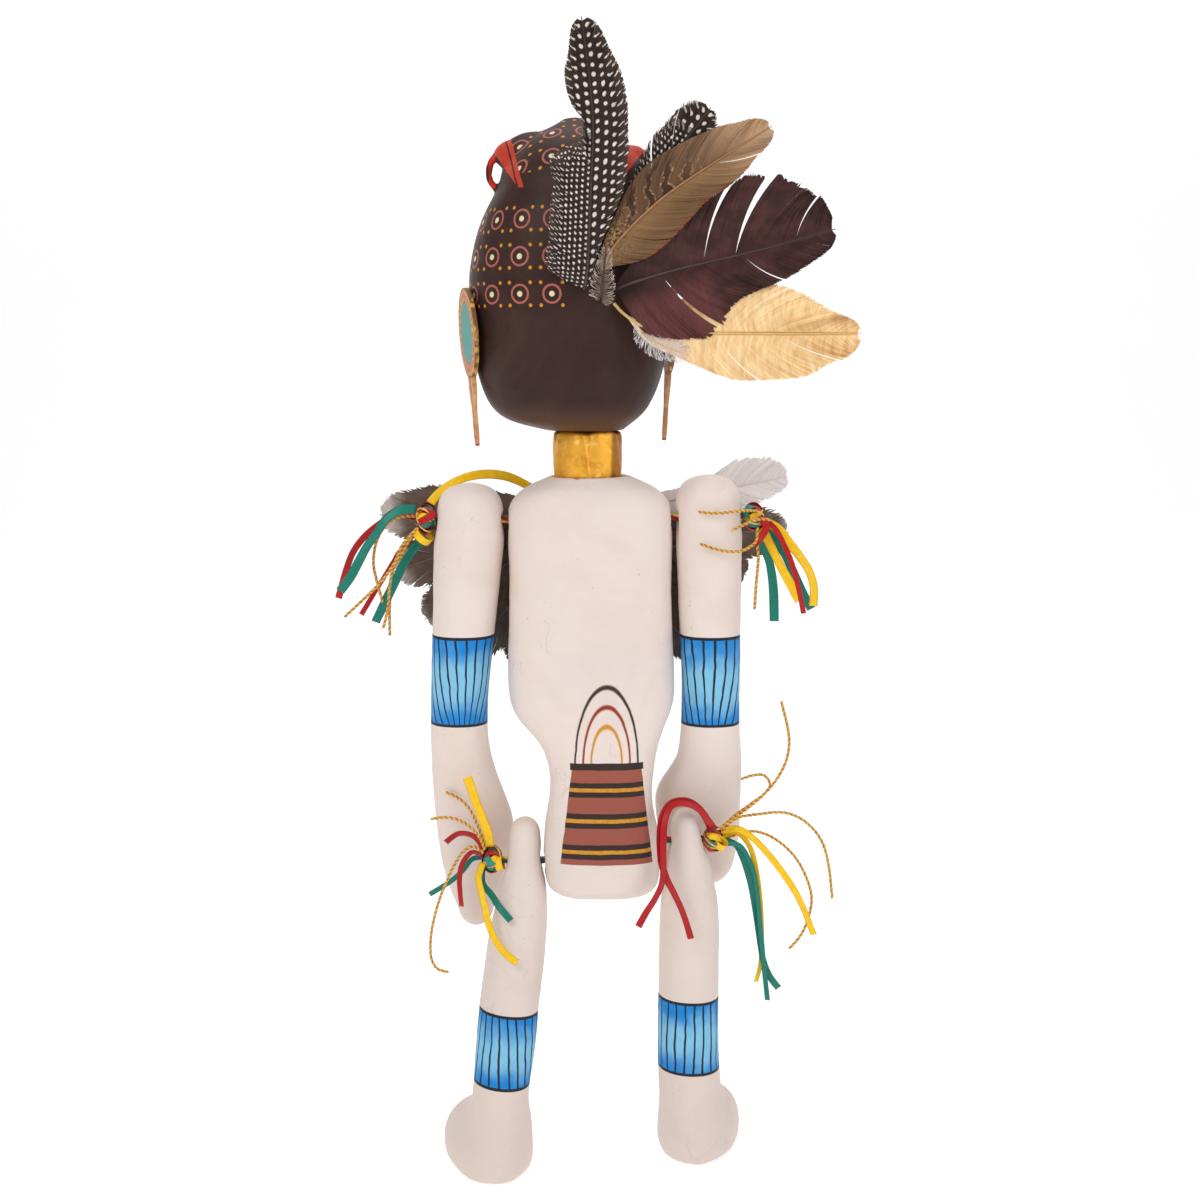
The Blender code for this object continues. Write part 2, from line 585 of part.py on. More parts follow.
def make_head():
    form = whole_form(HEAD, 2, top=HEAD_TOP)
    head = casting("head", form, HEAD_SQUARENESS, HEAD_SIDES, material("head_paint", DARK_BROWN))
    for number, lobe in enumerate(HELMET_CORNERS):
        combine(head, ball(f"helmet_corner_{number}", lobe), "UNION")
    curl = [Vector(point) * UNIT for point in through(CORNER_CURL, 2)]
    combine(head, tube_mesh("corner_curl", curl, CURL_RADIUS * UNIT), "UNION")
    rim = []
    for number in range(FACE_RIM_SIDES):
        angle = 2 * math.pi * number / FACE_RIM_SIDES
        x = FACE_MIDDLE[0] + FACE_RIM_RADII[0] * math.cos(angle)
        z = FACE_MIDDLE[1] + FACE_RIM_RADII[1] * math.sin(angle)
        rim.append(Vector((x, head_surface(x, z, 1), z)) * UNIT)
    combine(head, tube_mesh("face_rim", rim, FACE_RIM_THICKNESS * UNIT, closed=True), "UNION")
    for number, lobe in enumerate([*EYE_SOCKETS, NOSE_SOCKET]):
        combine(head, ball(f"face_socket_{number}", lobe), "DIFFERENCE")


def make_limbs():
    """Arms with their thumbs, and legs with their feet."""
    cream = material("limb_paint", CREAM)
    arms = [("arm_left", ARM_LEFT, ARM_LEFT_ENDS, ARM_LEFT_THUMB),
            ("arm_right", ARM_RIGHT, ARM_RIGHT_ENDS, ARM_RIGHT_THUMB)]
    for name, slices, (bottom, top), thumb in arms:
        arm = casting(name, whole_form(slices, 1, bottom, top), LIMB_SQUARENESS, LIMB_SIDES, cream)
        combine(arm, ball(name + "_thumb", thumb, 10), "UNION")
    for name, slices, top in [("leg_left", LEG_LEFT, LEG_LEFT_TOP),
                              ("leg_right", LEG_RIGHT, LEG_RIGHT_TOP)]:
        casting(name, whole_form(slices, top=top), LIMB_SQUARENESS, LIMB_SIDES, cream)


def make_ear(ear):
    """A card disc with a wavy pendant tail, standing beside the head."""
    points = []
    neck_angle = math.asin(PENDANT_WIDTH / 2 / DISC_RADIUS)
    for number in range(DISC_SIDES + 1):
        angle = neck_angle + (2 * math.pi - 2 * neck_angle) * number / DISC_SIDES
        points.append((DISC_RADIUS * math.sin(angle), -DISC_RADIUS * math.cos(angle)))
    left_side = []
    for number in range(1, PENDANT_STEPS):
        share = number / PENDANT_STEPS
        half = PENDANT_WIDTH / 2 * (1 - share) + PENDANT_WAVE * math.sin(3 * math.pi * share)
        left_side.append((half, -DISC_RADIUS - PENDANT_LENGTH * share))
    points += [(-half, height) for half, height in left_side]
    points.append((0, -DISC_RADIUS - PENDANT_LENGTH))
    points += left_side[::-1]
    curve = bpy.data.curves.new(ear.name, "CURVE")
    curve.dimensions = "2D"
    curve.fill_mode = "BOTH"
    curve.extrude = CARD_THICKNESS / 2
    spline = curve.splines.new("POLY")
    spline.points.add(len(points) - 1)
    for target, point in zip(spline.points, points):
        target.co = (*point, 0, 1)
    spline.use_cyclic_u = True
    obj = add_part(ear.name, curve, material("card_paint", CARD_TAN))
    upright = Matrix.Rotation(math.radians(90), 4, "Z") @ Matrix.Rotation(math.radians(90), 4, "X")
    facing = Matrix.Rotation(math.radians(ear.turn), 4, "Z")
    lean = Matrix.Rotation(math.radians(ear.lean), 4, "Y")
    obj.matrix_world = (Matrix.Translation(Vector(ear.middle) * UNIT) @ lean @ facing @ upright)


def make_plume(plume):
    """A flat feather planted in the head: a ridge along its shaft, a vane on either side."""
    stations = len(plume.upper)
    root_x, root_z = plume.root
    off = (SHAFT_THICKNESS / 2 + CLEARANCE) / UNIT
    root = (root_x, head_surface(root_x, root_z, -1) - off, root_z)
    fine = through([root, *plume.spine], CURVE_STEPS)
    length = sum((Vector(end) - Vector(start)).length for start, end in zip(fine, fine[1:]))
    shaft = even(fine, length / (stations - 1))
    rings = []
    for number, (upper, lower) in enumerate(zip(plume.upper, plume.lower)):
        middle = shaft[number]
        along = shaft[min(number + 1, stations - 1)] - shaft[max(number - 1, 0)]
        across = Vector((0, 1, 0)).cross(along).normalized()
        out = along.cross(across).normalized() * SHAFT_THICKNESS / 2
        middle = middle * UNIT
        rings.append([middle - across * upper * UNIT, middle - out,
                      middle + across * lower * UNIT, middle + out])
    add_part(plume.name, skin(rings, plume.name), material(plume.name, plume.color))


def make_collar():
    """The chest feathers as one scalloped fan with a ridge on every feather."""
    steps = 4
    columns = COLLAR_FEATHERS * steps
    base = Vector(COLLAR_MIDDLE) * UNIT
    bm = bmesh.new()
    grid = []
    for column in range(columns + 1):
        share = column / columns
        angle = math.radians(COLLAR_START + (COLLAR_END - COLLAR_START) * share)
        feather = min(column / steps, COLLAR_FEATHERS - 0.001)
        edge = abs(2 * (feather % 1) - 1) if column < columns else 1
        place = share * (len(COLLAR_REACH) - 1)
        first = min(int(place), len(COLLAR_REACH) - 2)
        reach = COLLAR_REACH[first] + (COLLAR_REACH[first + 1] - COLLAR_REACH[first]) * (place - first)
        tip = reach * (1 - 0.14 * edge ** 3)
        row = []
        for ring in (0, 0.5, 1):
            radius = (COLLAR_HUB + (tip - COLLAR_HUB) * ring) * UNIT
            ridge = COLLAR_RIDGE * UNIT * (1 - edge) * ring
            flat = base + Vector((radius * math.cos(angle), 0, radius * math.sin(angle)))
            row.append((bm.verts.new(flat),
                        bm.verts.new(flat + Vector((0, COLLAR_THICKNESS + ridge, 0)))))
        grid.append(row)
    for here, after in zip(grid, grid[1:]):
        for side in (0, 1):
            for ring in (0, 1):
                bm.faces.new((here[ring][side], after[ring][side],
                              after[ring + 1][side], here[ring + 1][side]))
        for ring in (0, 2):
            bm.faces.new((here[ring][0], after[ring][0], after[ring][1], here[ring][1]))
    for row in (grid[0], grid[-1]):
        for ring in (0, 1):
            bm.faces.new((row[ring][0], row[ring + 1][0], row[ring + 1][1], row[ring][1]))
    add_part("feather_collar", mesh_from(bm, "feather_collar"),
             material("collar_feathers", GREY_FEATHER))


def torso_side(height, way):
    """Where the torso's left (-1) or right (1) side lies at a height."""
    here = slice_at(TORSO, height)
    return here.x + way * here.wide


def bundle_solid(name, start, end, place, radius):
    """A round rod along X between two places, in metres."""
    bm = bmesh.new()
    turned = Matrix.Rotation(math.radians(90), 4, "Y")
    bmesh.ops.create_cone(bm, cap_ends=True, segments=BORE_SIDES, radius1=radius, radius2=radius,
                          depth=abs(end - start), matrix=turned)
    bmesh.ops.translate(bm, vec=((start + end) / 2, *place), verts=bm.verts)
    return add_helper(name, mesh_from(bm, name))


def make_tie(tie, torso):
    """A knot outside the limb and its bundle, threaded through limb and torso."""
    knot = Vector(tie.knot) * UNIT
    bm = bmesh.new()
    bmesh.ops.create_uvsphere(bm, u_segments=8, v_segments=6, radius=1)
    bmesh.ops.scale(bm, vec=Vector(tie.radii) * UNIT, verts=bm.verts)
    bmesh.ops.translate(bm, vec=knot, verts=bm.verts)
    obj = add_part(tie.name, mesh_from(bm, tie.name), material("ribbon_knot", RED, 0.45))
    place = (knot.y, knot.z)
    torso_edge = torso_side(tie.knot[2], -tie.side) * UNIT
    end = torso_edge + tie.side * BUNDLE_INSERTION
    rod = bundle_solid(tie.name + "_bundle", knot.x, end, place, BUNDLE_RADIUS)
    combine(obj, rod, "UNION")
    bore = bundle_solid(tie.name + "_bore", knot.x, end + tie.side * CLEARANCE, place,
                        BUNDLE_RADIUS + CLEARANCE)
    combine(bpy.data.objects[tie.limb], bore, "DIFFERENCE")
    combine(torso, bore, "DIFFERENCE")


def outside_knot(tie, points):
    """The stretch of a route that lies clear of its knot."""
    clear = 1.35
    for number, point in enumerate(points):
        share = sum(((p - k) / (r * UNIT)) ** 2
                    for p, k, r in zip(point, Vector(tie.knot) * UNIT, tie.radii))
        if share > clear:
            return points[number:]
    return points[-2:]


def make_tail(tie, tail):
    """A free ribbon, flat towards the back, or a free cord."""
    name = f"{tie.name.replace('tie_', '')}_{tail.name}"
    is_cord = tail.width == CORD_DIAMETER
    smooth = through([Vector(point) * UNIT for point in tail.points], CURVE_STEPS)
    route = even(outside_knot(tie, smooth), CORD_SPACING if is_cord else RIBBON_SPACING)
    if is_cord:
        curve = tube_curve(name, route, CORD_DIAMETER / 2, roundness=1)
        add_part(name, curve, material("gold_cord", GOLD, 0.35, 0.8))
        return
    rings = []
    for number, point in enumerate(route):
        along = route[min(number + 1, len(route) - 1)] - route[max(number - 1, 0)]
        across = Vector((0, 1, 0)).cross(along).normalized() * tail.width / 2
        thick = Vector((0, RIBBON_THICKNESS / 2, 0))
        rings.append([point - across - thick, point + across - thick,
                      point + across + thick, point - across + thick])
    color = tail.name.split("_")[0]
    add_part(name, skin(rings, name), material(f"{color}_ribbon", tail.color, 0.4))


def stand_on_origin(free):
    """Put the middle of the figure's box, without its free tails, above the origin."""
    bpy.context.view_layer.update()
    depsgraph = bpy.context.evaluated_depsgraph_get()
    points = []
    for obj in bpy.data.collections[COLLECTION].objects:
        if obj.name not in free:
            evaluated = obj.evaluated_get(depsgraph)
            mesh = evaluated.to_mesh()
            points += [evaluated.matrix_world @ vertex.co for vertex in mesh.vertices]
            evaluated.to_mesh_clear()
    middle = [(min(point[axis] for point in points) + max(point[axis] for point in points)) / 2
              for axis in (0, 1)]
    for collection in (COLLECTION, HELPERS):
        for obj in bpy.data.collections[collection].objects:
            obj.location -= Vector((*middle, 0))


def main():
    for obj in list(bpy.data.objects):
        bpy.data.objects.remove(obj)
    new_collection(COLLECTION)
    new_collection(HELPERS)
    torso, seat_top = make_torso()
    make_neck(seat_top)
    make_head()
    make_limbs()
    for ear in EARS:
        make_ear(ear)
    for plume in PLUMES:
        make_plume(plume)
    make_collar()
    for tie in TIES:
        make_tie(tie, torso)
    solid = {obj.name for obj in bpy.data.collections[COLLECTION].objects}
    for tie in TIES:
        for tail in tie.tails:
            make_tail(tie, tail)
    free = {obj.name for obj in bpy.data.collections[COLLECTION].objects} - solid
    stand_on_origin(free)


main()
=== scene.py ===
"""The looks of a papier-mache skeleton figure that stands with its painted back to the viewer.

Every place below is in thousandths of a metre in the figure's own frame, in which the camera
looks along +Y at the figure's back, +X is to the figure's right and the soles are at z = 0.
"""

import json
import math
import random
from collections import namedtuple

import bpy
from bpy.props import FloatProperty, FloatVectorProperty, IntProperty, PointerProperty
from mathutils import Matrix, Vector, noise


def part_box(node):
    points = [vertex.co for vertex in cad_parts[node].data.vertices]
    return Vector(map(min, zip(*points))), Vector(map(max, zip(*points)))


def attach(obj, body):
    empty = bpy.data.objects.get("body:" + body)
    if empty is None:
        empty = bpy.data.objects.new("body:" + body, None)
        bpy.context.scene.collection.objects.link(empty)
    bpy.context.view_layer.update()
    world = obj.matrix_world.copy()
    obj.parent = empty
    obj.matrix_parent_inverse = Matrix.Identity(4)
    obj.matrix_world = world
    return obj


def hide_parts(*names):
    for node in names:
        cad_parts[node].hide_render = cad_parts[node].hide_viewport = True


bl_info = {
    "name": "Papier-mache skeleton figure",
    "version": (1, 0, 0),
    "blender": (4, 5, 0),
    "location": "3D View > Sidebar > Figure",
    "description": "Builds a papier-mache skeleton figure with plumes, ribbons and gold cords",
    "category": "Object",
}

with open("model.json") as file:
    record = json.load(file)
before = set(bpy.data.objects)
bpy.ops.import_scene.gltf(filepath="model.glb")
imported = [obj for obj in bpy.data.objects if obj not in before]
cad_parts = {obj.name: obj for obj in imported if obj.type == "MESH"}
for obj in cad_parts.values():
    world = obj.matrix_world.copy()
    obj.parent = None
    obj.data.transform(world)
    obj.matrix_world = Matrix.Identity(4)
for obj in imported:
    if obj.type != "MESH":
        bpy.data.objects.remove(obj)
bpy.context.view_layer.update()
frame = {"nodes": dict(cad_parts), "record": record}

# The figure's frame: its scale and where the middle of its table of sizes stands
CROWN = 638
NECK_MIDDLE = (-7.5, 0)
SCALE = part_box("head")[1].z / CROWN
neck_low, neck_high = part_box("neck")
ORIGIN = (neck_low + neck_high) / 2 - Vector((*NECK_MIDDLE, 0)) * SCALE
ORIGIN.z = 0

# The photograph's camera: its place in metres in the figure's frame, its tilt down in degrees,
# and its lens and sensor in thousandths of a metre
CAMERA_PLACE = (0, -1.02, 0.50)
CAMERA_TILT = 8.13
CAMERA_LENS = 51
CAMERA_NEAR = 0.05
SENSOR = 36


def place(x, y, z):
    """A point of the figure's frame as a world point in metres."""
    return ORIGIN + Vector((x, y, z)) * SCALE


def paint(red, green, blue):
    """A colour as seen on a screen, 0 to 255, as the linear colour that shaders take."""
    shares = [value / 255 for value in (red, green, blue)]
    return tuple(s / 12.92 if s <= 0.04045 else ((s + 0.055) / 1.055) ** 2.4 for s in shares)


def color_property(name, description, color):
    """A colour that a user may change."""
    return FloatVectorProperty(name=name, description=description, default=color, size=3,
                               min=0, max=1, subtype="COLOR")


def size_property(name, description, millimetres):
    """A length that a user may change, given in thousandths of a metre."""
    return FloatProperty(name=name, description=description, default=millimetres / 1000,
                         min=0.00001, unit="LENGTH", precision=5)


class FigureColors(bpy.types.PropertyGroup):
    """Paints, ribbons and feathers"""

    cream: color_property("Cream", "Paint of the torso and the limbs", paint(228, 213, 205))
    helmet: color_property("Helmet", "Dark paint of the head", paint(52, 32, 28))
    red_trim: color_property("Red trim", "The helmet's corners and fine red lines",
                             paint(188, 62, 42))
    ring_line: color_property("Ring line", "Rings on the helmet", paint(170, 95, 85))
    gold_line: color_property("Gold line", "Inner arch, apron stripes and small helmet dots",
                              paint(205, 140, 40))
    outer_arch: color_property("Outer arch", "Outer arch on the back", paint(62, 45, 40))
    middle_arch: color_property("Middle arch", "Middle arch on the back", paint(150, 50, 35))
    apron: color_property("Apron", "Flared field below the arches", paint(152, 82, 66))
    dark_trim: color_property("Dark trim", "Apron bands, rim and the face's hollows",
                              paint(48, 34, 31))
    band_deep: color_property("Deep blue", "Blue at both ends of a band", paint(0, 128, 206))
    band_pale: color_property("Pale blue", "Blue in the middle of a band", paint(124, 190, 224))
    gilding: color_property("Gilding", "Gold leaf of the neck", paint(240, 175, 60))
    teal: color_property("Teal", "Disc of the ear ornaments", paint(72, 148, 143))
    card: color_property("Card", "Rim of the ear ornaments", paint(187, 132, 90))
    green: color_property("Green", "Satin ribbon", paint(2, 116, 100))
    red: color_property("Red", "Satin ribbon", paint(172, 0, 10))
    yellow: color_property("Yellow", "Satin ribbon", paint(242, 192, 0))
    gold: color_property("Gold", "Metallic cord", paint(240, 196, 96))
    floor: color_property("Floor", "Pale floor and backdrop", (0.9, 0.9, 0.9))


class FigureSizes(bpy.types.PropertyGroup):
    """Sizes of the finish"""

    paper_voxel: size_property("Paper grid", "Mesh size of the papier-mache pieces", 1.3)
    paper_swell: size_property("Paint coat", "Thickness given back after smoothing", 0.35)
    paper_lumps: size_property("Lumps", "Height of the papier-mache's broad lumps", 0.55)
    paper_creases: size_property("Creases", "Height of the paper's small creases", 0.16)
    barb_spacing: size_property("Barb spacing", "Distance between two barbs of a plume", 0.52)
    collar_spacing: size_property("Collar barb spacing", "The same in the collar", 0.9)
    cord_diameter: size_property("Cord", "Diameter of a gold cord", 2)
    strand_pitch: size_property("Strand pitch", "Length of one turn of a cord's strands", 3.2)
    ribbon_thickness: size_property("Ribbon", "Thickness of the satin", 0.3)
    knot_wraps: IntProperty(name="Wraps", description="Ribbon turns on a knot", default=5, min=1,
                            max=12)


def colors():
    """The scene's own colours of the figure."""
    return bpy.context.scene.figure_colors


def sizes():
    """The scene's own sizes of the finish, in metres."""
    return bpy.context.scene.figure_sizes


# Selection and finishing

def pick(*objects):
    """Select these objects alone, the first one active."""
    bpy.ops.object.select_all(action="DESELECT")
    for obj in objects:
        obj.select_set(True)
    bpy.context.view_layer.objects.active = objects[0]


def named(name):
    """The primitive that was just added, renamed."""
    obj = bpy.context.object
    obj.name = name
    obj.data.name = name
    return obj


def primitive(add, name, **settings):
    """A new primitive, alone in the selection."""
    bpy.ops.object.select_all(action="DESELECT")
    add(**settings)
    return named(name)


def coat(obj, surface):
    """Give a whole mesh one material."""
    obj.data.materials.clear()
    obj.data.materials.append(surface)


def apply_place(obj):
    """Move an object's place into its mesh."""
    pick(obj)
    bpy.ops.object.transform_apply(location=True, rotation=True, scale=True)


def apply_modifiers(obj):
    """Work an object's modifiers into its mesh, from the first to the last."""
    pick(obj)
    for modifier in list(obj.modifiers):
        bpy.ops.object.modifier_apply(modifier=modifier.name)


def joined(objects, name):
    """Several objects as one."""
    pick(*objects)
    if len(objects) > 1:
        bpy.ops.object.join()
    return named(name)


def dress(obj, slot, *nodes, surface=None):
    """Give a finished piece its material and the solids that it stands for; its slot is not used.
    """
    if surface:
        coat(obj, surface)
    for polygon in obj.data.polygons:
        polygon.use_smooth = True
    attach(obj, "root")
    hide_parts(*nodes)
    return obj


# Routes

# How far a smooth table may dip below the lower of two neighbours, as a share of it
LEAST_DIP = 0.8
# The step either side of a share from which a route's direction is taken
DIRECTION_STEP = 0.01


def between(a, b, c, d, t):
    """The place at share t from b to c on a smooth curve that passes a before and d after."""
    return 0.5 * (2 * b + (c - a) * t + (2 * a - 5 * b + 4 * c - d) * t ** 2
                  + (3 * b - a - 3 * c + d) * t ** 3)


def through(points, steps):
    """Points on a smooth curve through the given points, with `steps` pieces between two."""
    padded = [points[0], *points, points[-1]]
    curve = []
    for before, start, end, after in zip(padded, padded[1:], padded[2:], padded[3:]):
        for step in range(steps):
            curve.append(tuple(between(*values, step / steps)
                               for values in zip(before, start, end, after)))
    return curve + [tuple(points[-1])]


class Route:
    """A line through points that can be asked for its place and direction at any share of it."""

    def __init__(self, points):
        self.points = [Vector(point) for point in points]
        self.reach = [0.0]
        for start, end in zip(self.points, self.points[1:]):
            self.reach.append(self.reach[-1] + (end - start).length)
        self.length = self.reach[-1]

    def at(self, share):
        """The place at a share of the length."""
        distance = min(max(share, 0), 1) * self.length
        piece = 0
        while piece < len(self.points) - 2 and self.reach[piece + 1] < distance:
            piece += 1
        span = self.reach[piece + 1] - self.reach[piece] or 1
        share_of_piece = (distance - self.reach[piece]) / span
        return self.points[piece].lerp(self.points[piece + 1], share_of_piece)

    def along(self, share):
        """The direction at a share of the length."""
        ahead, behind = self.at(share + DIRECTION_STEP), self.at(share - DIRECTION_STEP)
        return (ahead - behind).normalized()

    def even(self, spacing):
        """Points at an even spacing close to the given one."""
        pieces = max(2, round(self.length / spacing))
        return [self.at(number / pieces) for number in range(pieces + 1)]


def level(table, share):
    """The value of an evenly spaced table at a share of its length, smoothly between two."""
    in_table = min(max(share, 0), 1) * (len(table) - 1)
    first = min(int(in_table), len(table) - 2)
    start, end = table[first], table[first + 1]
    before, after = table[max(first - 1, 0)], table[min(first + 2, len(table) - 1)]
    value = between(before, start, end, after, in_table - first)
    return max(value, min(start, end) * LEAST_DIP)


def rod(name, points, radii):
    """A round rod of changing thickness along points, as a mesh."""
    curve = bpy.data.curves.new(name, "CURVE")
    curve.dimensions = "3D"
    curve.bevel_depth = 1
    curve.bevel_resolution = 1
    curve.use_fill_caps = True
    spline = curve.splines.new("POLY")
    spline.points.add(len(points) - 1)
    for target, point, radius in zip(spline.points, points, radii):
        target.co = (*point, 1)
        target.radius = radius
    obj = bpy.data.objects.new(name, curve)
    bpy.context.scene.collection.objects.link(obj)
    pick(obj)
    bpy.ops.object.convert(target="MESH")
    return named(name)


# Shader wiring

class Wire:
    """A number on its way through a node tree, so that formulas read as sums."""

    def __init__(self, graph, socket):
        self.graph = graph
        self.socket = socket

    def __add__(self, other):
        return self.graph.math("ADD", self, other)

    def __sub__(self, other):
        return self.graph.math("SUBTRACT", self, other)

    def __mul__(self, other):
        return self.graph.math("MULTIPLY", self, other)

    def __truediv__(self, other):
        return self.graph.math("DIVIDE", self, other)

    def __rsub__(self, other):
        return self.graph.math("SUBTRACT", other, self)

    def __rtruediv__(self, other):
        return self.graph.math("DIVIDE", other, self)

    def __pow__(self, other):
        return self.graph.math("POWER", self, other)

    def __neg__(self):
        return self * -1

    def __abs__(self):
        return self.graph.math("ABSOLUTE", self)

    __radd__ = __add__


class Graph:
    """A node tree with short words for what its formulas need."""

    def __init__(self, tree):
        self.tree = tree

    def node(self, kind, **settings):
        """A new node with these settings."""
        made = self.tree.nodes.new(kind)
        for name, value in settings.items():
            setattr(made, name, value)
        return made

    def feed(self, socket, value):
        """Link a wire or an output to a socket, or set the socket's own value."""
        if isinstance(value, Wire):
            value = value.socket
        if isinstance(value, bpy.types.NodeSocket):
            self.tree.links.new(value, socket)
        elif socket.type == "RGBA":
            socket.default_value = (*value[:3], 1)
        else:
            socket.default_value = value

    def math(self, operation, *values):
        """A Math node's result."""
        made = self.node("ShaderNodeMath", operation=operation)
        for socket, value in zip(made.inputs, values):
            self.feed(socket, value)
        return Wire(self, made.outputs[0])

    def low(self, a, b):
        return self.math("MINIMUM", a, b)

    def high(self, a, b):
        return self.math("MAXIMUM", a, b)

    def ramp(self, value, start, end):
        """0 up to the start, 1 from the end, smooth between them."""
        made = self.node("ShaderNodeMapRange", interpolation_type="SMOOTHSTEP")
        self.feed(made.inputs["Value"], value)
        self.feed(made.inputs["From Min"], start)
        self.feed(made.inputs["From Max"], end)
        if isinstance(start, (int, float)) and isinstance(end, (int, float)) and start > end:
            self.feed(made.inputs["From Min"], end)
            self.feed(made.inputs["From Max"], start)
            return 1 - Wire(self, made.outputs["Result"])
        return Wire(self, made.outputs["Result"])

    def inside(self, distance, soft=0.18):
        """1 where a distance is below 0, with a soft edge, and 0 elsewhere."""
        return self.ramp(distance, soft, -soft)

    def mix(self, factor, base, color):
        """One colour over another."""
        made = self.node("ShaderNodeMix", data_type="RGBA")
        self.feed(made.inputs["Factor"], factor)
        self.feed(made.inputs[6], base)
        self.feed(made.inputs[7], color)
        return made.outputs[2]

    def shade(self, color, value):
        """A colour made darker or lighter by a number."""
        made = self.node("ShaderNodeHueSaturation")
        self.feed(made.inputs["Color"], color)
        self.feed(made.inputs["Value"], value)
        return made.outputs["Color"]

    def noise(self, vector, scale, detail=3, roughness=0.5, distortion=0):
        """Cloudy noise from 0 to 1."""
        made = self.node("ShaderNodeTexNoise")
        self.feed(made.inputs["Vector"], vector)
        for name, value in (("Scale", scale), ("Detail", detail), ("Roughness", roughness),
                            ("Distortion", distortion)):
            self.feed(made.inputs[name], value)
        return Wire(self, made.outputs["Fac"])

    def cells(self, vector, scale, feature="DISTANCE_TO_EDGE"):
        """A distance in a pattern of cells."""
        made = self.node("ShaderNodeTexVoronoi", feature=feature)
        self.feed(made.inputs["Vector"], vector)
        self.feed(made.inputs["Scale"], scale)
        return Wire(self, made.outputs["Distance"])

    def vector(self, x, y, z=0):
        made = self.node("ShaderNodeCombineXYZ")
        for socket, value in zip(made.inputs, (x, y, z)):
            self.feed(socket, value)
        return made.outputs[0]

    def split(self, vector):
        made = self.node("ShaderNodeSeparateXYZ")
        self.feed(made.inputs[0], vector)
        return [Wire(self, output) for output in made.outputs]

    def object_place(self):
        """The figure frame's x, y and z in thousandths of a metre."""
        coordinates = self.node("ShaderNodeTexCoord").outputs["Object"]
        x, y, z = self.split(coordinates)
        return ((x - ORIGIN.x) / SCALE, (y - ORIGIN.y) / SCALE, z / SCALE, coordinates)

    def attribute(self, name):
        """A number that the mesh carries at its points."""
        made = self.node("ShaderNodeAttribute", attribute_name=name)
        return Wire(self, made.outputs["Fac"])

    def uv(self, name):
        """The parts of a UV map's place."""
        return self.split(self.node("ShaderNodeUVMap", uv_map=name).outputs[0])

    def use(self, group, **values):
        """Place a node group and return its outputs by name."""
        made = self.node("ShaderNodeGroup")
        made.node_tree = group
        for name, value in values.items():
            self.feed(made.inputs[name.replace("_", " ").capitalize()], value)
        return {output.name: Wire(self, output) for output in made.outputs}


def new_group(name, inputs, outputs):
    """An empty shader node group with named inputs and outputs."""
    tree = bpy.data.node_groups.new(name, "ShaderNodeTree")
    kinds = {"vector": "NodeSocketVector", "color": "NodeSocketColor", "number": "NodeSocketFloat"}
    for side, sockets in (("INPUT", inputs), ("OUTPUT", outputs)):
        for socket, kind in sockets.items():
            tree.interface.new_socket(socket, in_out=side, socket_type=kinds[kind])
    graph = Graph(tree)
    start = graph.node("NodeGroupInput").outputs
    end = graph.node("NodeGroupOutput").inputs
    return graph, start, end


def new_surface(name, roughness=0.6, **plain):
    """A material with its graph and its Principled BSDF, whose plain values are set here."""
    made = bpy.data.materials.new(name)
    made.use_nodes = True
    shader = made.node_tree.nodes["Principled BSDF"]
    sockets = {socket.name.lower().replace(" ", "_"): socket for socket in shader.inputs}
    for key, value in {"roughness": roughness, **plain}.items():
        sockets[key].default_value = value
    return made, Graph(made.node_tree), shader


def raise_by(graph, shader, height, distance, strength=1.0):
    """A Bump node, which raises a surface by a height times a distance in metres."""
    bump = graph.node("ShaderNodeBump")
    graph.feed(bump.inputs["Strength"], strength)
    graph.feed(bump.inputs["Distance"], distance)
    graph.feed(bump.inputs["Height"], height)
    graph.feed(shader.inputs["Normal"], bump.outputs["Normal"])


# Shared effects

def paper_group():
    """Papier-mache under paint: its height, cloudy stains and hairline cracks."""
    graph, start, end = new_group(
        "paper_under_paint", {"Place": "vector", "Grain": "number"},
        {"Height": "number", "Stain": "number", "Crack": "number", "Pit": "number"})
    spot = start["Place"]
    grain = Wire(graph, start["Grain"])
    fibres = graph.noise(spot, 900 / grain, 4, 0.6)
    sheets = graph.noise(spot, 170 / grain, 3, 0.55, 0.6)
    stretched = graph.node("ShaderNodeMapping")
    graph.feed(stretched.inputs["Vector"], spot)
    stretched.inputs["Scale"].default_value = (0.5, 0.5, 2.2)
    wrinkles = graph.noise(stretched.outputs[0], 120, 4, 0.6, 1.2)
    warped = graph.noise(spot, 60, 2)
    crack_lines = graph.cells(spot, 42 + warped * 10)
    cracked = graph.ramp(graph.noise(spot, 24, 2), 0.6, 0.68)
    crack = graph.inside(crack_lines - 0.008, 0.006) * cracked
    pit = graph.inside(graph.cells(spot, 330, "F1") - 0.13, 0.05)
    pit = pit * graph.ramp(graph.noise(spot, 75, 1), 0.6, 0.7)
    height = fibres * 0.25 + sheets * 0.6 + wrinkles * 0.7 - crack * 0.35 - pit * 0.4
    graph.feed(end["Height"], height)
    graph.feed(end["Stain"], graph.noise(spot, 16, 5, 0.62, 0.8))
    graph.feed(end["Crack"], crack)
    graph.feed(end["Pit"], pit)
    return graph.tree


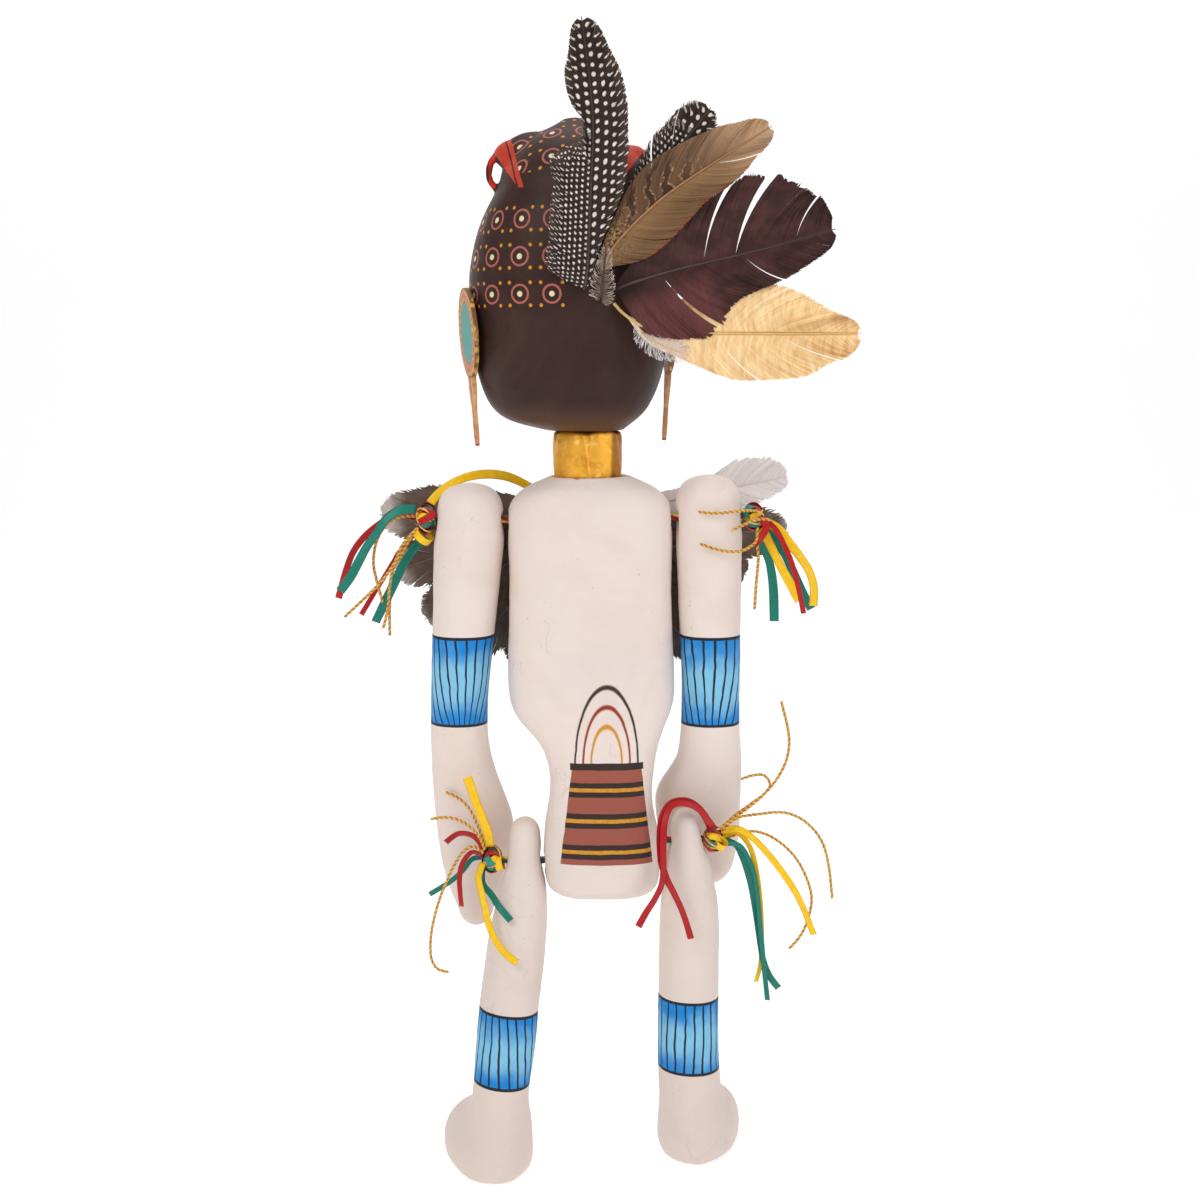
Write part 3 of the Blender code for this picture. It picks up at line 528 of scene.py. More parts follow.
def stripe_band_group():
    """A painted blue band round a limb, with dark borders and wavy dark stripes."""
    graph, start, end = new_group(
        "striped_band", {"Height": "number", "Low": "number", "High": "number", "Turn": "number",
                         "Wobble": "number", "Stripes": "number", "Deep": "color", "Pale": "color"},
        {"Color": "color", "Mask": "number"})
    height, low, high, turn, wobble, stripes = [Wire(graph, start[n]) for n in range(6)]
    share = (height - low) / (high - low)
    middle = 1 - abs(share * 2 - 1)
    blue = graph.mix(graph.ramp(middle + wobble * 1.2, 0.08, 0.85), start["Deep"], start["Pale"])
    phase = graph.math("FRACT", turn * stripes / math.tau + wobble * 0.55 + 8)
    line = graph.inside(abs(phase - 0.5) - 0.105 - wobble * 0.1, 0.03)
    border = graph.inside(graph.low(abs(height - low), abs(height - high)) - 0.95, 0.2)
    graph.feed(end["Color"], graph.mix(graph.high(line, border), blue, (0.012, 0.012, 0.016)))
    inner = graph.low(height - low, high - height)
    graph.feed(end["Mask"], graph.ramp(inner, -1.1, -0.8))
    return graph.tree


def vane_group():
    """Fine light and dark of a feather's vane, from its own place on the feather."""
    graph, start, end = new_group(
        "feather_vane", {"Along": "number", "Across": "number", "Barb": "number"},
        {"Shade": "number", "Height": "number"})
    along, across, barb = [Wire(graph, start[n]) for n in (0, 1, 2)]
    streak = graph.noise(graph.vector(along * 0.9, across * 0.05), 1, 4, 0.7)
    cloud = graph.noise(graph.vector(along * 0.05, across * 0.09), 1, 3)
    graph.feed(end["Shade"], 0.62 + barb * 0.22 + streak * 0.34 + cloud * 0.2)
    graph.feed(end["Height"], barb * 0.6 + streak * 0.6)
    return graph.tree


def feather_place(graph):
    """Along and across a feather in thousandths of a metre, the share from shaft to edge, and
    the barb's own tone."""
    along, across, _ = graph.uv("vane")
    return (along * VANE_SPAN, (across - 0.5) * VANE_SPAN, graph.attribute("share"),
            graph.attribute("barb"))


# Paints

Band = namedtuple("Band", "low high axis stripes tilt")
LIMB_BANDS = {
    "arm_left": Band(277.5, 333, (-84.6, 3), 21, 0.0),
    "arm_right": Band(277.5, 333, (67.3, 4), 19, 0.0),
    "leg_left": Band(57.5, 102, (-58.6, -16.5), 20, -0.1),
    "leg_right": Band(59.5, 105, (55.4, 0), 20, -0.04),
}
# How high the paper stands under the paint, in metres, and how strongly its bumps show
PAPER_RELIEF = (0.00055, 0.55)
HELMET_RELIEF = (0.0004, 0.5)


def cream_base(graph, spot, groups):
    """Cream paint with stains, cracks and pits, and its paper's height."""
    paper = graph.use(groups["paper"], place=spot, grain=1.0)
    stain = graph.ramp(paper["Stain"], 0.45, 0.7) * 0.5
    color = graph.mix(stain, colors().cream, paint(220, 201, 188))
    cool = graph.ramp(graph.noise(spot, 11, 3), 0.5, 0.68) * 0.4
    color = graph.mix(cool, color, paint(217, 209, 209))
    color = graph.mix(paper["Crack"] * 0.3, color, paint(170, 150, 132))
    color = graph.mix(paper["Pit"] * 0.55, color, paint(150, 138, 128))
    return color, paper["Height"]


def cream_paint(node, groups, decorate):
    """The paint of the torso or a limb, with its painted ornament."""
    made, graph, shader = new_surface("cream_paint_" + node, roughness=0.62,
                                      specular_ior_level=0.3)
    x, y, z, spot = graph.object_place()
    color, height = cream_base(graph, spot, groups)
    color = graph.mix(graph.ramp(z, 300, 20) * 0.4, color, paint(206, 186, 174))
    color = decorate(graph, x, y, z, spot, color, groups)
    graph.feed(shader.inputs["Base Color"], color)
    raise_by(graph, shader, height, *PAPER_RELIEF)
    return made


def limb_band(node):
    """What adds a limb's striped blue band to its paint."""
    limb = LIMB_BANDS[node]

    def decorate(graph, x, y, z, spot, color, groups):
        turn = graph.math("ARCTAN2", y - limb.axis[1], x - limb.axis[0])
        slow = graph.noise(spot, 55, 2) - 0.5
        tilted = z - (x - limb.axis[0]) * limb.tilt
        band = graph.use(groups["band"], height=tilted, low=limb.low, high=limb.high, turn=turn,
                         wobble=slow, stripes=limb.stripes, deep=colors().band_deep,
                         pale=colors().band_pale)
        return graph.mix(band["Mask"], color, band["Color"])
    return decorate


# The painted field on the back, a plain design: nested arches over a banded apron
FIELD_MIDDLE = 4.0
# Half the arches' full width and their full height, each arch's share of both, and half the
# line's width as such a share
ARCH_HALF = (20, 50)
ARCH_SHARES = (0.94, 0.7, 0.46)
ARCH_LINE = 0.03
# The rim between arches and apron, and the apron: its half width at the top, how much wider it
# grows for each step down, its bottom, and the heights of its bands
RIM_HEIGHTS = (254.6, 258.6)
APRON_HALF = 21
APRON_FLARE = 0.12
APRON_BOTTOM = 196
APRON_BANDS = (242, 223, 204)
BAND_HALF = 4.5
STRIPE_HALF = 1.2
RIM_HALF = 2.2


def back_field(graph, x, y, z, spot, color, groups):
    """Adds the arches, the rim and the banded apron to the torso's back."""
    bare = color
    hand = (graph.noise(spot, 130, 2) - 0.5) * 0.9
    across = x + hand - FIELD_MIDDLE
    z = z + hand * 0.7
    reach = graph.math("SQRT", (across / ARCH_HALF[0]) ** 2
                       + ((z - RIM_HEIGHTS[1]) / ARCH_HALF[1]) ** 2)
    above = graph.inside(RIM_HEIGHTS[1] - z)
    arch_colors = (colors().outer_arch, colors().middle_arch, colors().gold_line)
    for share, line_color in zip(ARCH_SHARES, arch_colors):
        line = graph.inside(abs(reach - share) - ARCH_LINE, ARCH_LINE / 2) * above
        color = graph.mix(line, color, line_color)
    side = abs(across) - APRON_HALF - (RIM_HEIGHTS[0] - z) * APRON_FLARE
    apron = graph.high(side, graph.high(z - RIM_HEIGHTS[0], APRON_BOTTOM - z))
    color = graph.mix(graph.inside(apron), color, colors().apron)
    worn_gold = graph.shade(colors().gold_line, 0.6 + graph.noise(spot, 500, 3) * 0.8)
    for height in APRON_BANDS:
        band = graph.high(side, abs(z - height) - BAND_HALF)
        color = graph.mix(graph.inside(band), color, colors().dark_trim)
        stripe = graph.high(side, abs(z - height) - STRIPE_HALF)
        color = graph.mix(graph.inside(stripe), color, worn_gold)
    rim_middle = (RIM_HEIGHTS[0] + RIM_HEIGHTS[1]) / 2
    rim = graph.high(abs(z - rim_middle) - RIM_HALF, abs(across) - APRON_HALF - 1)
    color = graph.mix(graph.inside(rim), color, colors().dark_trim)
    return graph.mix(graph.ramp(y, 4, 0), bare, color)


# The head's paint: a plain square grid of ringed dots, red corners and a plain skull face
HEAD_CENTRE = (-18, 7)
HEAD_RADIUS = 55
# One cell's width and height, and the ring, dot and corner dots in it
DOT_CELL = (19, 21)
RING_RADIUS = 5
RING_LINE = 0.6
DOT_RADIUS = 1.6
CORNER_PLACE = 6.4
CORNER_RADIUS = 1
# Above this height the grid runs over the crown: how fast it climbs with z and with y from
# the back
CROWN_PAINT = 604
CROWN_CLIMB = (0.75, 0.66)
HEAD_BACK = -45
# Which cells are shown: middle and half reach across and up, then across and the lowest height
SIDE_CELLS = ((-57, 51), (558, 32))
CROWN_CELLS = ((-2, 42), 602)
# The red wedges: what x is mirrored about, each edge as a point and its normal, and the lower
# end; and the red curl: its edge, its hollow's edge, and its middle and half height
WEDGE_MIRROR = -18.5
WEDGE_OUTER = ((-63.5, 620.5), (0.831, 0.559))
WEDGE_INNER = ((-51.6, 625), (0.965, 0.262))
WEDGE_END = 595.5
CURL_EDGE = -61.6
CURL_HOLLOW = -65.4
CURL_HEIGHT = (608, 9.5)
# The face: its opening, eye sockets, nose and mouth, and the dashes round it. The mouth is its
# height, half height and half width, and one tooth's width
FACE_MIDDLE = (-19, 536)
FACE_RADII = (38, 50)
EYE_PLACES = [(-35, 548), (-3, 548)]
EYE_RADII = (9.5, 10.5)
NOSE_PLACE = (-19, 526)
NOSE_HALF = 7.5
TEETH = (506, 6.5, 21, 4.4)
FACE_DASHES = 34


def ringed_dot_group():
    """A ring round a dot, with small dots at the corners, as three masks."""
    graph, start, end = new_group("ringed_dot", {"Across": "number", "Up": "number"},
                                  {"Ring": "number", "Dot": "number", "Corners": "number"})
    x, y = Wire(graph, start["Across"]), Wire(graph, start["Up"])
    reach = graph.math("SQRT", x ** 2 + y ** 2)
    graph.feed(end["Ring"], graph.inside(abs(reach - RING_RADIUS) - RING_LINE, 0.25))
    graph.feed(end["Dot"], graph.inside(reach - DOT_RADIUS, 0.3))
    corner = graph.math("SQRT", (abs(x) - CORNER_PLACE) ** 2 + (abs(y) - CORNER_PLACE) ** 2)
    graph.feed(end["Corners"], graph.inside(corner - CORNER_RADIUS, 0.3))
    return graph.tree


def dot_rows(graph, x, y, z, color, groups):
    """Lays the ringed dots in a square grid round the head's left side and its crown."""
    around = graph.math("ARCTAN2", x - HEAD_CENTRE[0], HEAD_CENTRE[1] - y) * HEAD_RADIUS
    crown = graph.math("GREATER_THAN", z, CROWN_PAINT)
    over = (z - CROWN_PAINT) * CROWN_CLIMB[0] + (y - HEAD_BACK) * CROWN_CLIMB[1]
    across_head = around + crown * (x - HEAD_CENTRE[0] - around)
    up_head = z + crown * (over + CROWN_PAINT - z)
    column_place = across_head / DOT_CELL[0]
    column = graph.math("FLOOR", column_place)
    row_place = up_head / DOT_CELL[1]
    row = graph.math("FLOOR", row_place)
    dot = graph.use(groups["ringed_dot"], across=(column_place - column - 0.5) * DOT_CELL[0],
                    up=(row_place - row - 0.5) * DOT_CELL[1])
    middle = (column + 0.5) * DOT_CELL[0]
    height = (row + 0.5) * DOT_CELL[1]
    (side_middle, side_reach), (side_height, side_rise) = SIDE_CELLS
    on_side = graph.math("LESS_THAN", abs(middle - side_middle), side_reach) * (1 - crown)
    on_side = on_side * graph.math("LESS_THAN", abs(height - side_height), side_rise)
    (crown_middle, crown_reach), crown_height = CROWN_CELLS
    on_crown = graph.math("LESS_THAN", abs(middle - crown_middle), crown_reach) * crown
    on_crown = on_crown * graph.math("GREATER_THAN", height, crown_height)
    shown = graph.high(on_side, on_crown) * graph.ramp(y, 22, 14)
    color = graph.mix(dot["Ring"] * shown, color, colors().ring_line)
    color = graph.mix(dot["Dot"] * shown, color, paint(226, 208, 165))
    return graph.mix(dot["Corners"] * shown, color, colors().gold_line)


def past_edge(across, up, edge):
    """How far a place lies past an edge, which is a point and its normal."""
    (edge_across, edge_up), (normal_across, normal_up) = edge
    return (across - edge_across) * normal_across + (up - edge_up) * normal_up


def corner_wedges(graph, x, y, z, color):
    """A red wedge down from each helmet corner, with a dark line in it."""
    mirrored = graph.low(x, 2 * WEDGE_MIRROR - x)
    outer = -past_edge(mirrored, z, WEDGE_OUTER)
    inner = past_edge(mirrored, z, WEDGE_INNER)
    wedge = graph.high(graph.high(outer, inner), WEDGE_END - z)
    mask = graph.inside(wedge, 0.25) * graph.ramp(y, 34, 26)
    color = graph.mix(mask, color, colors().red_trim)
    line = graph.high(abs(inner + 3.1) - 0.5, wedge)
    return graph.mix(graph.inside(line) * mask, color, colors().dark_trim)


def face_paint(graph, x, y, z, color):
    """A plain painted skull in the helmet's opening."""
    across, up = x - FACE_MIDDLE[0], z - FACE_MIDDLE[1]
    reach = graph.math("SQRT", across * across / FACE_RADII[0] ** 2
                       + up * up / FACE_RADII[1] ** 2)
    edge = (reach - 1) * FACE_RADII[0]
    front = graph.ramp(y, 8, 14)
    face = graph.mix(graph.inside(edge), color, colors().cream)
    for eye_x, eye_z in EYE_PLACES:
        dx, dz = (x - eye_x) / EYE_RADII[0], (z - eye_z) / EYE_RADII[1]
        hole = (graph.math("SQRT", dx * dx + dz * dz) - 1) * EYE_RADII[0]
        face = graph.mix(graph.inside(hole, 0.4), face, colors().dark_trim)
        face = graph.mix(graph.inside(abs(hole - 2) - 0.5, 0.2), face, colors().red_trim)
    nose_across = abs(x - NOSE_PLACE[0]) * 1.7 + abs(z - NOSE_PLACE[1])
    face = graph.mix(graph.inside(nose_across - NOSE_HALF, 0.4), face, colors().dark_trim)
    height, half_height, half_width, tooth = TEETH
    mouth = graph.high(abs(z - height) - half_height, abs(across) - half_width)
    in_tooth = graph.math("FRACT", across / tooth + 8)
    gap = graph.inside(abs(in_tooth - 0.5) - 0.06, 0.03)
    bite = graph.inside(abs(z - height) - 0.45, 0.2)
    face = graph.mix(graph.inside(mouth) * graph.high(gap, bite), face, colors().dark_trim)
    face = graph.mix(graph.inside(abs(mouth) - 0.5, 0.2), face, colors().dark_trim)
    face = graph.mix(graph.inside(abs(edge) - 3.4, 0.4), face, colors().card)
    dashes = -graph.math("SINE", graph.math("ARCTAN2", up, across) * FACE_DASHES)
    face = graph.mix(graph.inside(abs(edge) - 1, 0.3) * graph.inside(dashes, 0.2), face,
                     colors().red_trim)
    return graph.mix(front, color, face)


def helmet_paint(groups):
    """The head's dark satin paint with its painted ornament."""
    made, graph, shader = new_surface("helmet_paint", specular_ior_level=0.16)
    x, y, z, spot = graph.object_place()
    paper = graph.use(groups["paper"], place=spot, grain=1.2)
    cloud = graph.ramp(paper["Stain"], 0.35, 0.7)
    color = graph.mix(cloud, colors().helmet, paint(66, 46, 40))
    # Painted reflection of the gold neck: the bottom of the head turns a lighter, warmer brown
    color = graph.mix(graph.ramp(z, 476, 458) * 0.7, color, paint(96, 66, 48))
    color = graph.mix(paper["Crack"] * 0.4, color, paint(30, 20, 18))
    hand = (graph.noise(spot, 120, 2) - 0.5) * 0.8
    color = dot_rows(graph, x + hand, y, z + hand * 0.6, color, groups)
    color = corner_wedges(graph, x + hand, y, z, color)
    curl_height = graph.inside(abs(z - CURL_HEIGHT[0]) - CURL_HEIGHT[1], 0.5)
    curl = graph.inside(x - CURL_EDGE, 0.4) * curl_height
    color = graph.mix(curl, color, paint(205, 48, 30))
    color = graph.mix(graph.inside(x - CURL_HOLLOW, 0.3) * curl, color, paint(70, 34, 28))
    color = face_paint(graph, x, y, z, color)
    graph.feed(shader.inputs["Base Color"], color)
    graph.feed(shader.inputs["Roughness"], 0.38 + graph.noise(spot, 30, 4) * 0.2)
    raise_by(graph, shader, paper["Height"], *HELMET_RELIEF)
    return made


def gilding(groups):
    """Crumpled gold leaf on the neck, with painted shade in its creases and along a lap down one
    side.
    """
    made, graph, shader = new_surface("neck_gilding", metallic=0.72)
    x, y, z, spot = graph.object_place()
    paper = graph.use(groups["paper"], place=spot, grain=1.0)
    crease = graph.noise(spot, 95, 5, 0.65, 1.2)
    # Painted shade: darker brown-gold in the creases, where the crease cloud is low
    color = graph.mix(graph.ramp(crease, 0.3, 0.55), paint(214, 146, 44), colors().gilding)
    rubbed = graph.ramp(graph.noise(spot, 210, 4), 0.58, 0.72)
    color = graph.mix(rubbed * 0.5, color, paint(255, 222, 135))
    # Painted shade: a darker copper band down the neck's right side, along the lap
    lap = graph.ramp(x - (z - NECK_LEAF_MIDDLE) * 0.03, 5.5, 8)
    color = graph.mix(lap * 0.65, color, paint(158, 84, 32))
    graph.feed(shader.inputs["Base Color"], color)
    graph.feed(shader.inputs["Roughness"], 0.3 + crease * 0.25)
    raise_by(graph, shader, crease + paper["Height"] * 0.2, 0.0007, 0.5)
    return made


# The side of the square that the card's map covers, and the radii of its painted rings
CARD_SPAN = 160
CARD_TEAL = 17.8
CARD_DASHES = 21.8
CARD_EDGE = 25.4


def card_paint():
    """The ear ornaments' paint, from the card's own place: teal, a red line and a tan rim."""
    made, graph, shader = new_surface("card_paint", roughness=0.55, specular_ior_level=0.3)
    u, v, _ = graph.uv("card")
    x, y = (u - 0.5) * CARD_SPAN, (v - 0.5) * CARD_SPAN
    spot = graph.object_place()[3]
    reach = graph.math("SQRT", x * x + y * y)
    brush = graph.noise(spot, 260, 4)
    color = graph.mix(graph.ramp(brush, 0.35, 0.7), colors().card, paint(214, 165, 112))
    dash = graph.math("SINE", graph.math("ARCTAN2", y, x) * 30)
    ring = graph.inside(abs(reach - CARD_DASHES) - 1.1, 0.2) * graph.inside(dash, 0.3)
    color = graph.mix(ring, color, colors().red_trim)
    color = graph.mix(graph.inside(reach - CARD_TEAL - 0.9, 0.2), color, paint(175, 92, 70))
    teal = graph.mix(brush * 0.5, colors().teal, paint(104, 172, 160))
    color = graph.mix(graph.inside(reach - CARD_TEAL, 0.2), color, teal)
    below = graph.ramp(y, -24, -27)
    waves = graph.inside(abs(x) - 1.2 - graph.math("SINE", y * 0.9) * 0.7, 0.3) * below
    color = graph.mix(waves, color, colors().red_trim)
    rim = graph.ramp(reach, CARD_EDGE, CARD_EDGE + 0.5) * (1 - below)
    patches = graph.ramp(graph.noise(spot, 190, 3), 0.45, 0.6)
    edge_color = graph.mix(patches, paint(112, 74, 40), paint(205, 158, 72))
    color = graph.mix(rim, color, edge_color)
    graph.feed(shader.inputs["Base Color"], color)
    raise_by(graph, shader, brush, 0.0003, 0.4)
    return made


# Feather paints

# The side of the square that a vane's map covers
VANE_SPAN = 240


def guinea_pattern(graph, along, across, share, barb):
    """White dots in staggered rows near the shaft, white strokes towards the edge."""
    fine = graph.ramp(across, 0, -1) * graph.ramp(along, 88, 84)
    size = 1 - fine * 0.36
    wobble = (graph.noise(graph.vector(along * 0.1, across * 0.14), 1, 2) - 0.5) * 3.4
    out = abs(across)
    cell_along, cell_across = size * 5.0, size * 4.2
    column = graph.math("FLOOR", out / cell_across)
    lean = along - out * 0.5 + wobble
    row_place = lean / cell_along + graph.math("MODULO", column, 2) * 0.5 + 40
    down = (graph.math("FRACT", row_place) - 0.5) * cell_along
    over = (out / cell_across - column - 0.5) * cell_across
    reach = graph.ramp(share, 0.5, 0.8)
    vary = graph.noise(graph.vector(along * 0.3, across * 0.3, 7), 1, 1) * 0.9 + 0.55
    wide = (0.95 + reach * 1.2) * size * vary
    tall = (1.15 - reach * 0.75) * size * vary
    dot = graph.math("SQRT", (over / wide) ** 2 + (down / tall) ** 2) - 1
    dots = graph.inside(dot, 0.22) * graph.ramp(out, 0.7, 1.2)
    ground = graph.mix(graph.ramp(share, 0.6, 1.0), paint(50, 36, 31), paint(76, 60, 52))
    ground = graph.mix(graph.inside(out - 0.7, 0.3), ground, paint(66, 46, 38))
    return graph.mix(dots, ground, paint(226, 218, 210))


def pheasant_pattern(graph, along, across, share, barb):
    """Brown with dark blotches and buff mottling above, tan with a rusty edge below."""
    place_on = graph.vector(along * 0.1, across * 0.16)
    cloud = graph.noise(place_on, 1, 3)
    specks = graph.noise(graph.vector(along * 0.5, across * 0.7), 1, 5, 0.75)
    mottle = graph.ramp(specks, 0.47, 0.56)
    upper = graph.mix(graph.ramp(along, 50, 120), paint(104, 74, 54), paint(152, 118, 88))
    curved = along - abs(across) * 0.9 + cloud * 16
    bars = graph.ramp(graph.math("SINE", curved * 0.5), 0.1, 0.6) * graph.ramp(along, 88, 62)
    upper = graph.mix(bars * 0.8 * graph.ramp(share, 0.95, 0.6), upper, paint(56, 40, 32))
    rims = graph.inside(abs(graph.math("SINE", curved * 0.5) - 0.15) - 0.3, 0.2)
    speckled = graph.high(rims * graph.ramp(share, 0.75, 0.4), graph.ramp(along, 45, 15) * 0.8)
    upper = graph.mix(speckled * mottle * graph.ramp(along, 92, 75), upper, paint(192, 150, 104))
    lower = graph.mix(graph.ramp(share, 0.0, 0.6), paint(148, 112, 76), paint(126, 94, 64))
    lower = graph.mix(graph.ramp(along, 60, 120) * 0.5, lower, paint(176, 142, 104))
    worn = graph.ramp(graph.noise(graph.vector(along * 0.12, 3), 1, 2), 0.42, 0.56)
    lower = graph.mix(graph.ramp(share, 0.86, 0.96) * worn, lower, paint(144, 80, 44))
    lower = graph.mix(graph.ramp(along, 42, 12) * mottle * 0.7, lower, paint(96, 72, 52))
    color = graph.mix(graph.ramp(across, -0.3, 0.3), upper, lower)
    return graph.mix(graph.ramp(along, 84, 124) * 0.75, color, paint(216, 178, 140))


def burgundy_pattern(graph, along, across, share, barb):
    """Dyed burgundy, nearly black by the root and the shaft's upper side."""
    red = graph.noise(graph.vector(along * 0.06, across * 0.1), 1, 3)
    color = graph.mix(graph.ramp(red, 0.35, 0.7), paint(60, 35, 33), paint(82, 50, 47))
    color = graph.mix(graph.ramp(along, 40, 8) * 0.8, color, paint(32, 18, 17))
    plum = graph.ramp(across, 2, 14) * graph.ramp(along, 64, 54)
    streak = graph.noise(graph.vector(along * 0.5, across * 0.04), 1, 2)
    color = graph.mix(plum * 0.85, color, graph.mix(streak, paint(78, 40, 48), paint(118, 66, 60)))
    return graph.mix(graph.ramp(abs(across), 1.2, 0.5), color, paint(84, 56, 54))


def gold_pattern(graph, along, across, share, barb):
    """Gold paint, thin along the barbs, over a pale feather that shows at its root."""
    worn = graph.noise(graph.vector(along * 0.34, across * 0.07), 1, 4, 0.7)
    color = graph.mix(graph.ramp(worn, 0.3, 0.66), paint(234, 194, 136), paint(255, 226, 176))
    # Painted shadow of the burgundy plume: the outer part of the upper vane, from the root to about
    # half way, is darker brown-gold
    under = graph.ramp(across, -10, -26) * graph.ramp(along, 96, 60)
    color = graph.mix(under * 0.6, color, paint(176, 124, 62))
    line = graph.inside(abs(across) - 0.9, 0.3)
    color = graph.mix(line, color, paint(232, 194, 134))
    return graph.mix(graph.ramp(along, 40, 26) * 0.75, color, paint(226, 208, 196))


def down_pattern(graph, along, across, share, barb):
    """Grey at the shaft, paler towards the edge."""
    return graph.mix(share, paint(150, 132, 118), paint(226, 212, 196))


def collar_pattern(graph, along, across, share, barb):
    """Grey-brown, with a pale tip on each feather."""
    cloud = graph.noise(graph.vector(along * 0.09, across * 0.12), 1, 3)
    color = graph.mix(cloud, paint(74, 60, 52), paint(134, 115, 104))
    return graph.mix(graph.ramp(along + cloud * 6, 116, 128) * 0.85, color, paint(214, 206, 198))


def white_pattern(graph, along, across, share, barb):
    """Off-white, a little different on each barb."""
    return graph.mix(barb * 0.5, paint(226, 216, 214), paint(240, 236, 235))


# How each feather is painted, how strongly its fine streaks show, and its shader's plain values
FeatherLook = namedtuple("FeatherLook", "pattern streaks plain")
FEATHER_LOOKS = {
    "guinea_feather": FeatherLook(guinea_pattern, 1.0, {"roughness": 0.6}),
    "pheasant_feather": FeatherLook(pheasant_pattern, 1.0, {"roughness": 0.6}),
    "burgundy_feather": FeatherLook(burgundy_pattern, 0.85, {"roughness": 0.55}),
    "gold_feather": FeatherLook(gold_pattern, 0.35, {"roughness": 0.42, "metallic": 0.25}),
    "down_feather": FeatherLook(down_pattern, 0.6, {"roughness": 0.8}),
    "gold_fluff": FeatherLook(white_pattern, 0.4, {"roughness": 0.8}),
    "collar_feather": FeatherLook(collar_pattern, 1.0, {"roughness": 0.75}),
    "white_feather": FeatherLook(white_pattern, 0.3, {"roughness": 0.75}),
}
SHAFT_COLORS = {
    "dark_shaft": (58, 40, 34),
    "amber_shaft": (150, 108, 70),
    "gilt_shaft": (214, 176, 112),
    "collar_shaft": (120, 104, 90),
    "white_shaft": (222, 212, 206),
}


def feather_surface(name):
    """A feather's material: a pattern of its own over the shared fine light and dark."""
    look = FEATHER_LOOKS[name]
    made, graph, shader = new_surface(name, specular_ior_level=0.2, **look.plain)
    along, across, share, barb = feather_place(graph)
    fine = graph.use(shared_groups()["vane"], along=along, across=across, barb=barb)
    color = look.pattern(graph, along, across, share, barb)
    color = graph.shade(color, 1 + (fine["Shade"] - 1) * look.streaks)
    graph.feed(shader.inputs["Base Color"], color)
    raise_by(graph, shader, fine["Height"], 0.0004, 0.5 * look.streaks)
    return made


def shaft_surface(name):
    """A feather shaft's horn, lightly flecked."""
    made, graph, shader = new_surface(name, roughness=0.35)
    spot = graph.object_place()[3]
    fleck = graph.noise(spot, 300, 3)
    color = graph.shade(paint(*SHAFT_COLORS[name]), 0.7 + fleck * 0.6)
    graph.feed(shader.inputs["Base Color"], color)
    raise_by(graph, shader, fleck, 0.0002, 0.3)
    return made


# Ribbons and cords

def satin(name, color):
    """Satin ribbon: fine threads along it, painted light and shade of folds, a brighter middle and
    firm edges.
    """
    made, graph, shader = new_surface(name, sheen_weight=0.08, specular_ior_level=0.35)
    along, across, _ = graph.uv("strip")
    thread = graph.noise(graph.vector(along * 6, across * 90), 1, 3, 0.7)
    # Painted light and shade of folds along the ribbon; the same cloud also raises the surface
    fold_shade_and_relief = graph.noise(graph.vector(along * 26, across * 1.4), 1, 2)
    edge = graph.ramp(abs(across - 0.5), 0.42, 0.48)
    value = 0.66 + thread * 0.3 + fold_shade_and_relief * 0.46 - edge * 0.25
    graph.feed(shader.inputs["Base Color"], graph.shade(color, value))
    graph.feed(shader.inputs["Roughness"], 0.26 + thread * 0.2)
    raise_by(graph, shader, thread * 0.4 + fold_shade_and_relief, 0.0004, 0.35)
    return made


def metallic_thread(name, dull, bright):
    """Thread wound with metal foil that glints here and there."""
    made, graph, shader = new_surface(name, metallic=0.35)
    spot = graph.object_place()[3]
    strand = graph.noise(spot, 700, 3, 0.6, 1)
    color = graph.mix(graph.ramp(strand, 0.38, 0.6), dull, bright)
    graph.feed(shader.inputs["Base Color"], color)
    graph.feed(shader.inputs["Roughness"], 0.3 + strand * 0.25)
    raise_by(graph, shader, strand, 0.0003, 0.6)
    return made


# Papier-mache castings

# The paper's lumps and creases: how wide their clouds are and how finely divided
LUMP_CLOUDS = (15, 2)
CREASE_CLOUDS = (4.5, 4)
# Points closer than this, in metres, are one
SAME_PLACE = 0.00001


def cloud_texture(name, size, depth):
    """Clouds of a size in thousandths of a metre."""
    made = bpy.data.textures.new(name, "CLOUDS")
    made.noise_scale = size / 1000
    made.noise_depth = depth
    return made


def displaced(obj, name, strength, texture=None, middle=0.5):
    """Push a mesh's surface out, evenly or by a texture."""
    modifier = obj.modifiers.new(name, "DISPLACE")
    modifier.strength = strength
    modifier.mid_level = middle
    modifier.direction = "NORMAL"
    if texture:
        modifier.texture = texture
        modifier.texture_coords = "LOCAL"


def sculpted(node, name, voxel, smooth=6, lumps=1.0, creases=1.0):
    """A CAD node's shape as one soft skin of paper: rounded, lumpy and creased."""
    source = frame["nodes"][node]
    obj = bpy.data.objects.new(name, source.data.copy())
    bpy.context.scene.collection.objects.link(obj)
    pick(obj)
    bpy.ops.object.mode_set(mode="EDIT")
    bpy.ops.mesh.select_all(action="SELECT")
    bpy.ops.mesh.remove_doubles(threshold=SAME_PLACE)
    bpy.ops.mesh.tris_convert_to_quads()
    bpy.ops.object.mode_set(mode="OBJECT")
    rounder = obj.modifiers.new("rounded", "SUBSURF")
    rounder.levels = 2
    rounder.render_levels = 2
    paper = obj.modifiers.new("paper", "REMESH")
    paper.mode = "VOXEL"
    paper.voxel_size = voxel
    softer = obj.modifiers.new("softer", "SMOOTH")
    softer.iterations = smooth
    softer.factor = 0.5
    displaced(obj, "coat", sizes().paper_swell, middle=0)
    displaced(obj, "lumps", sizes().paper_lumps * lumps,
              cloud_texture("paper_lumps", *LUMP_CLOUDS))
    displaced(obj, "creases", sizes().paper_creases * creases,
              cloud_texture("paper_creases", *CREASE_CLOUDS))
    apply_modifiers(obj)
    return obj


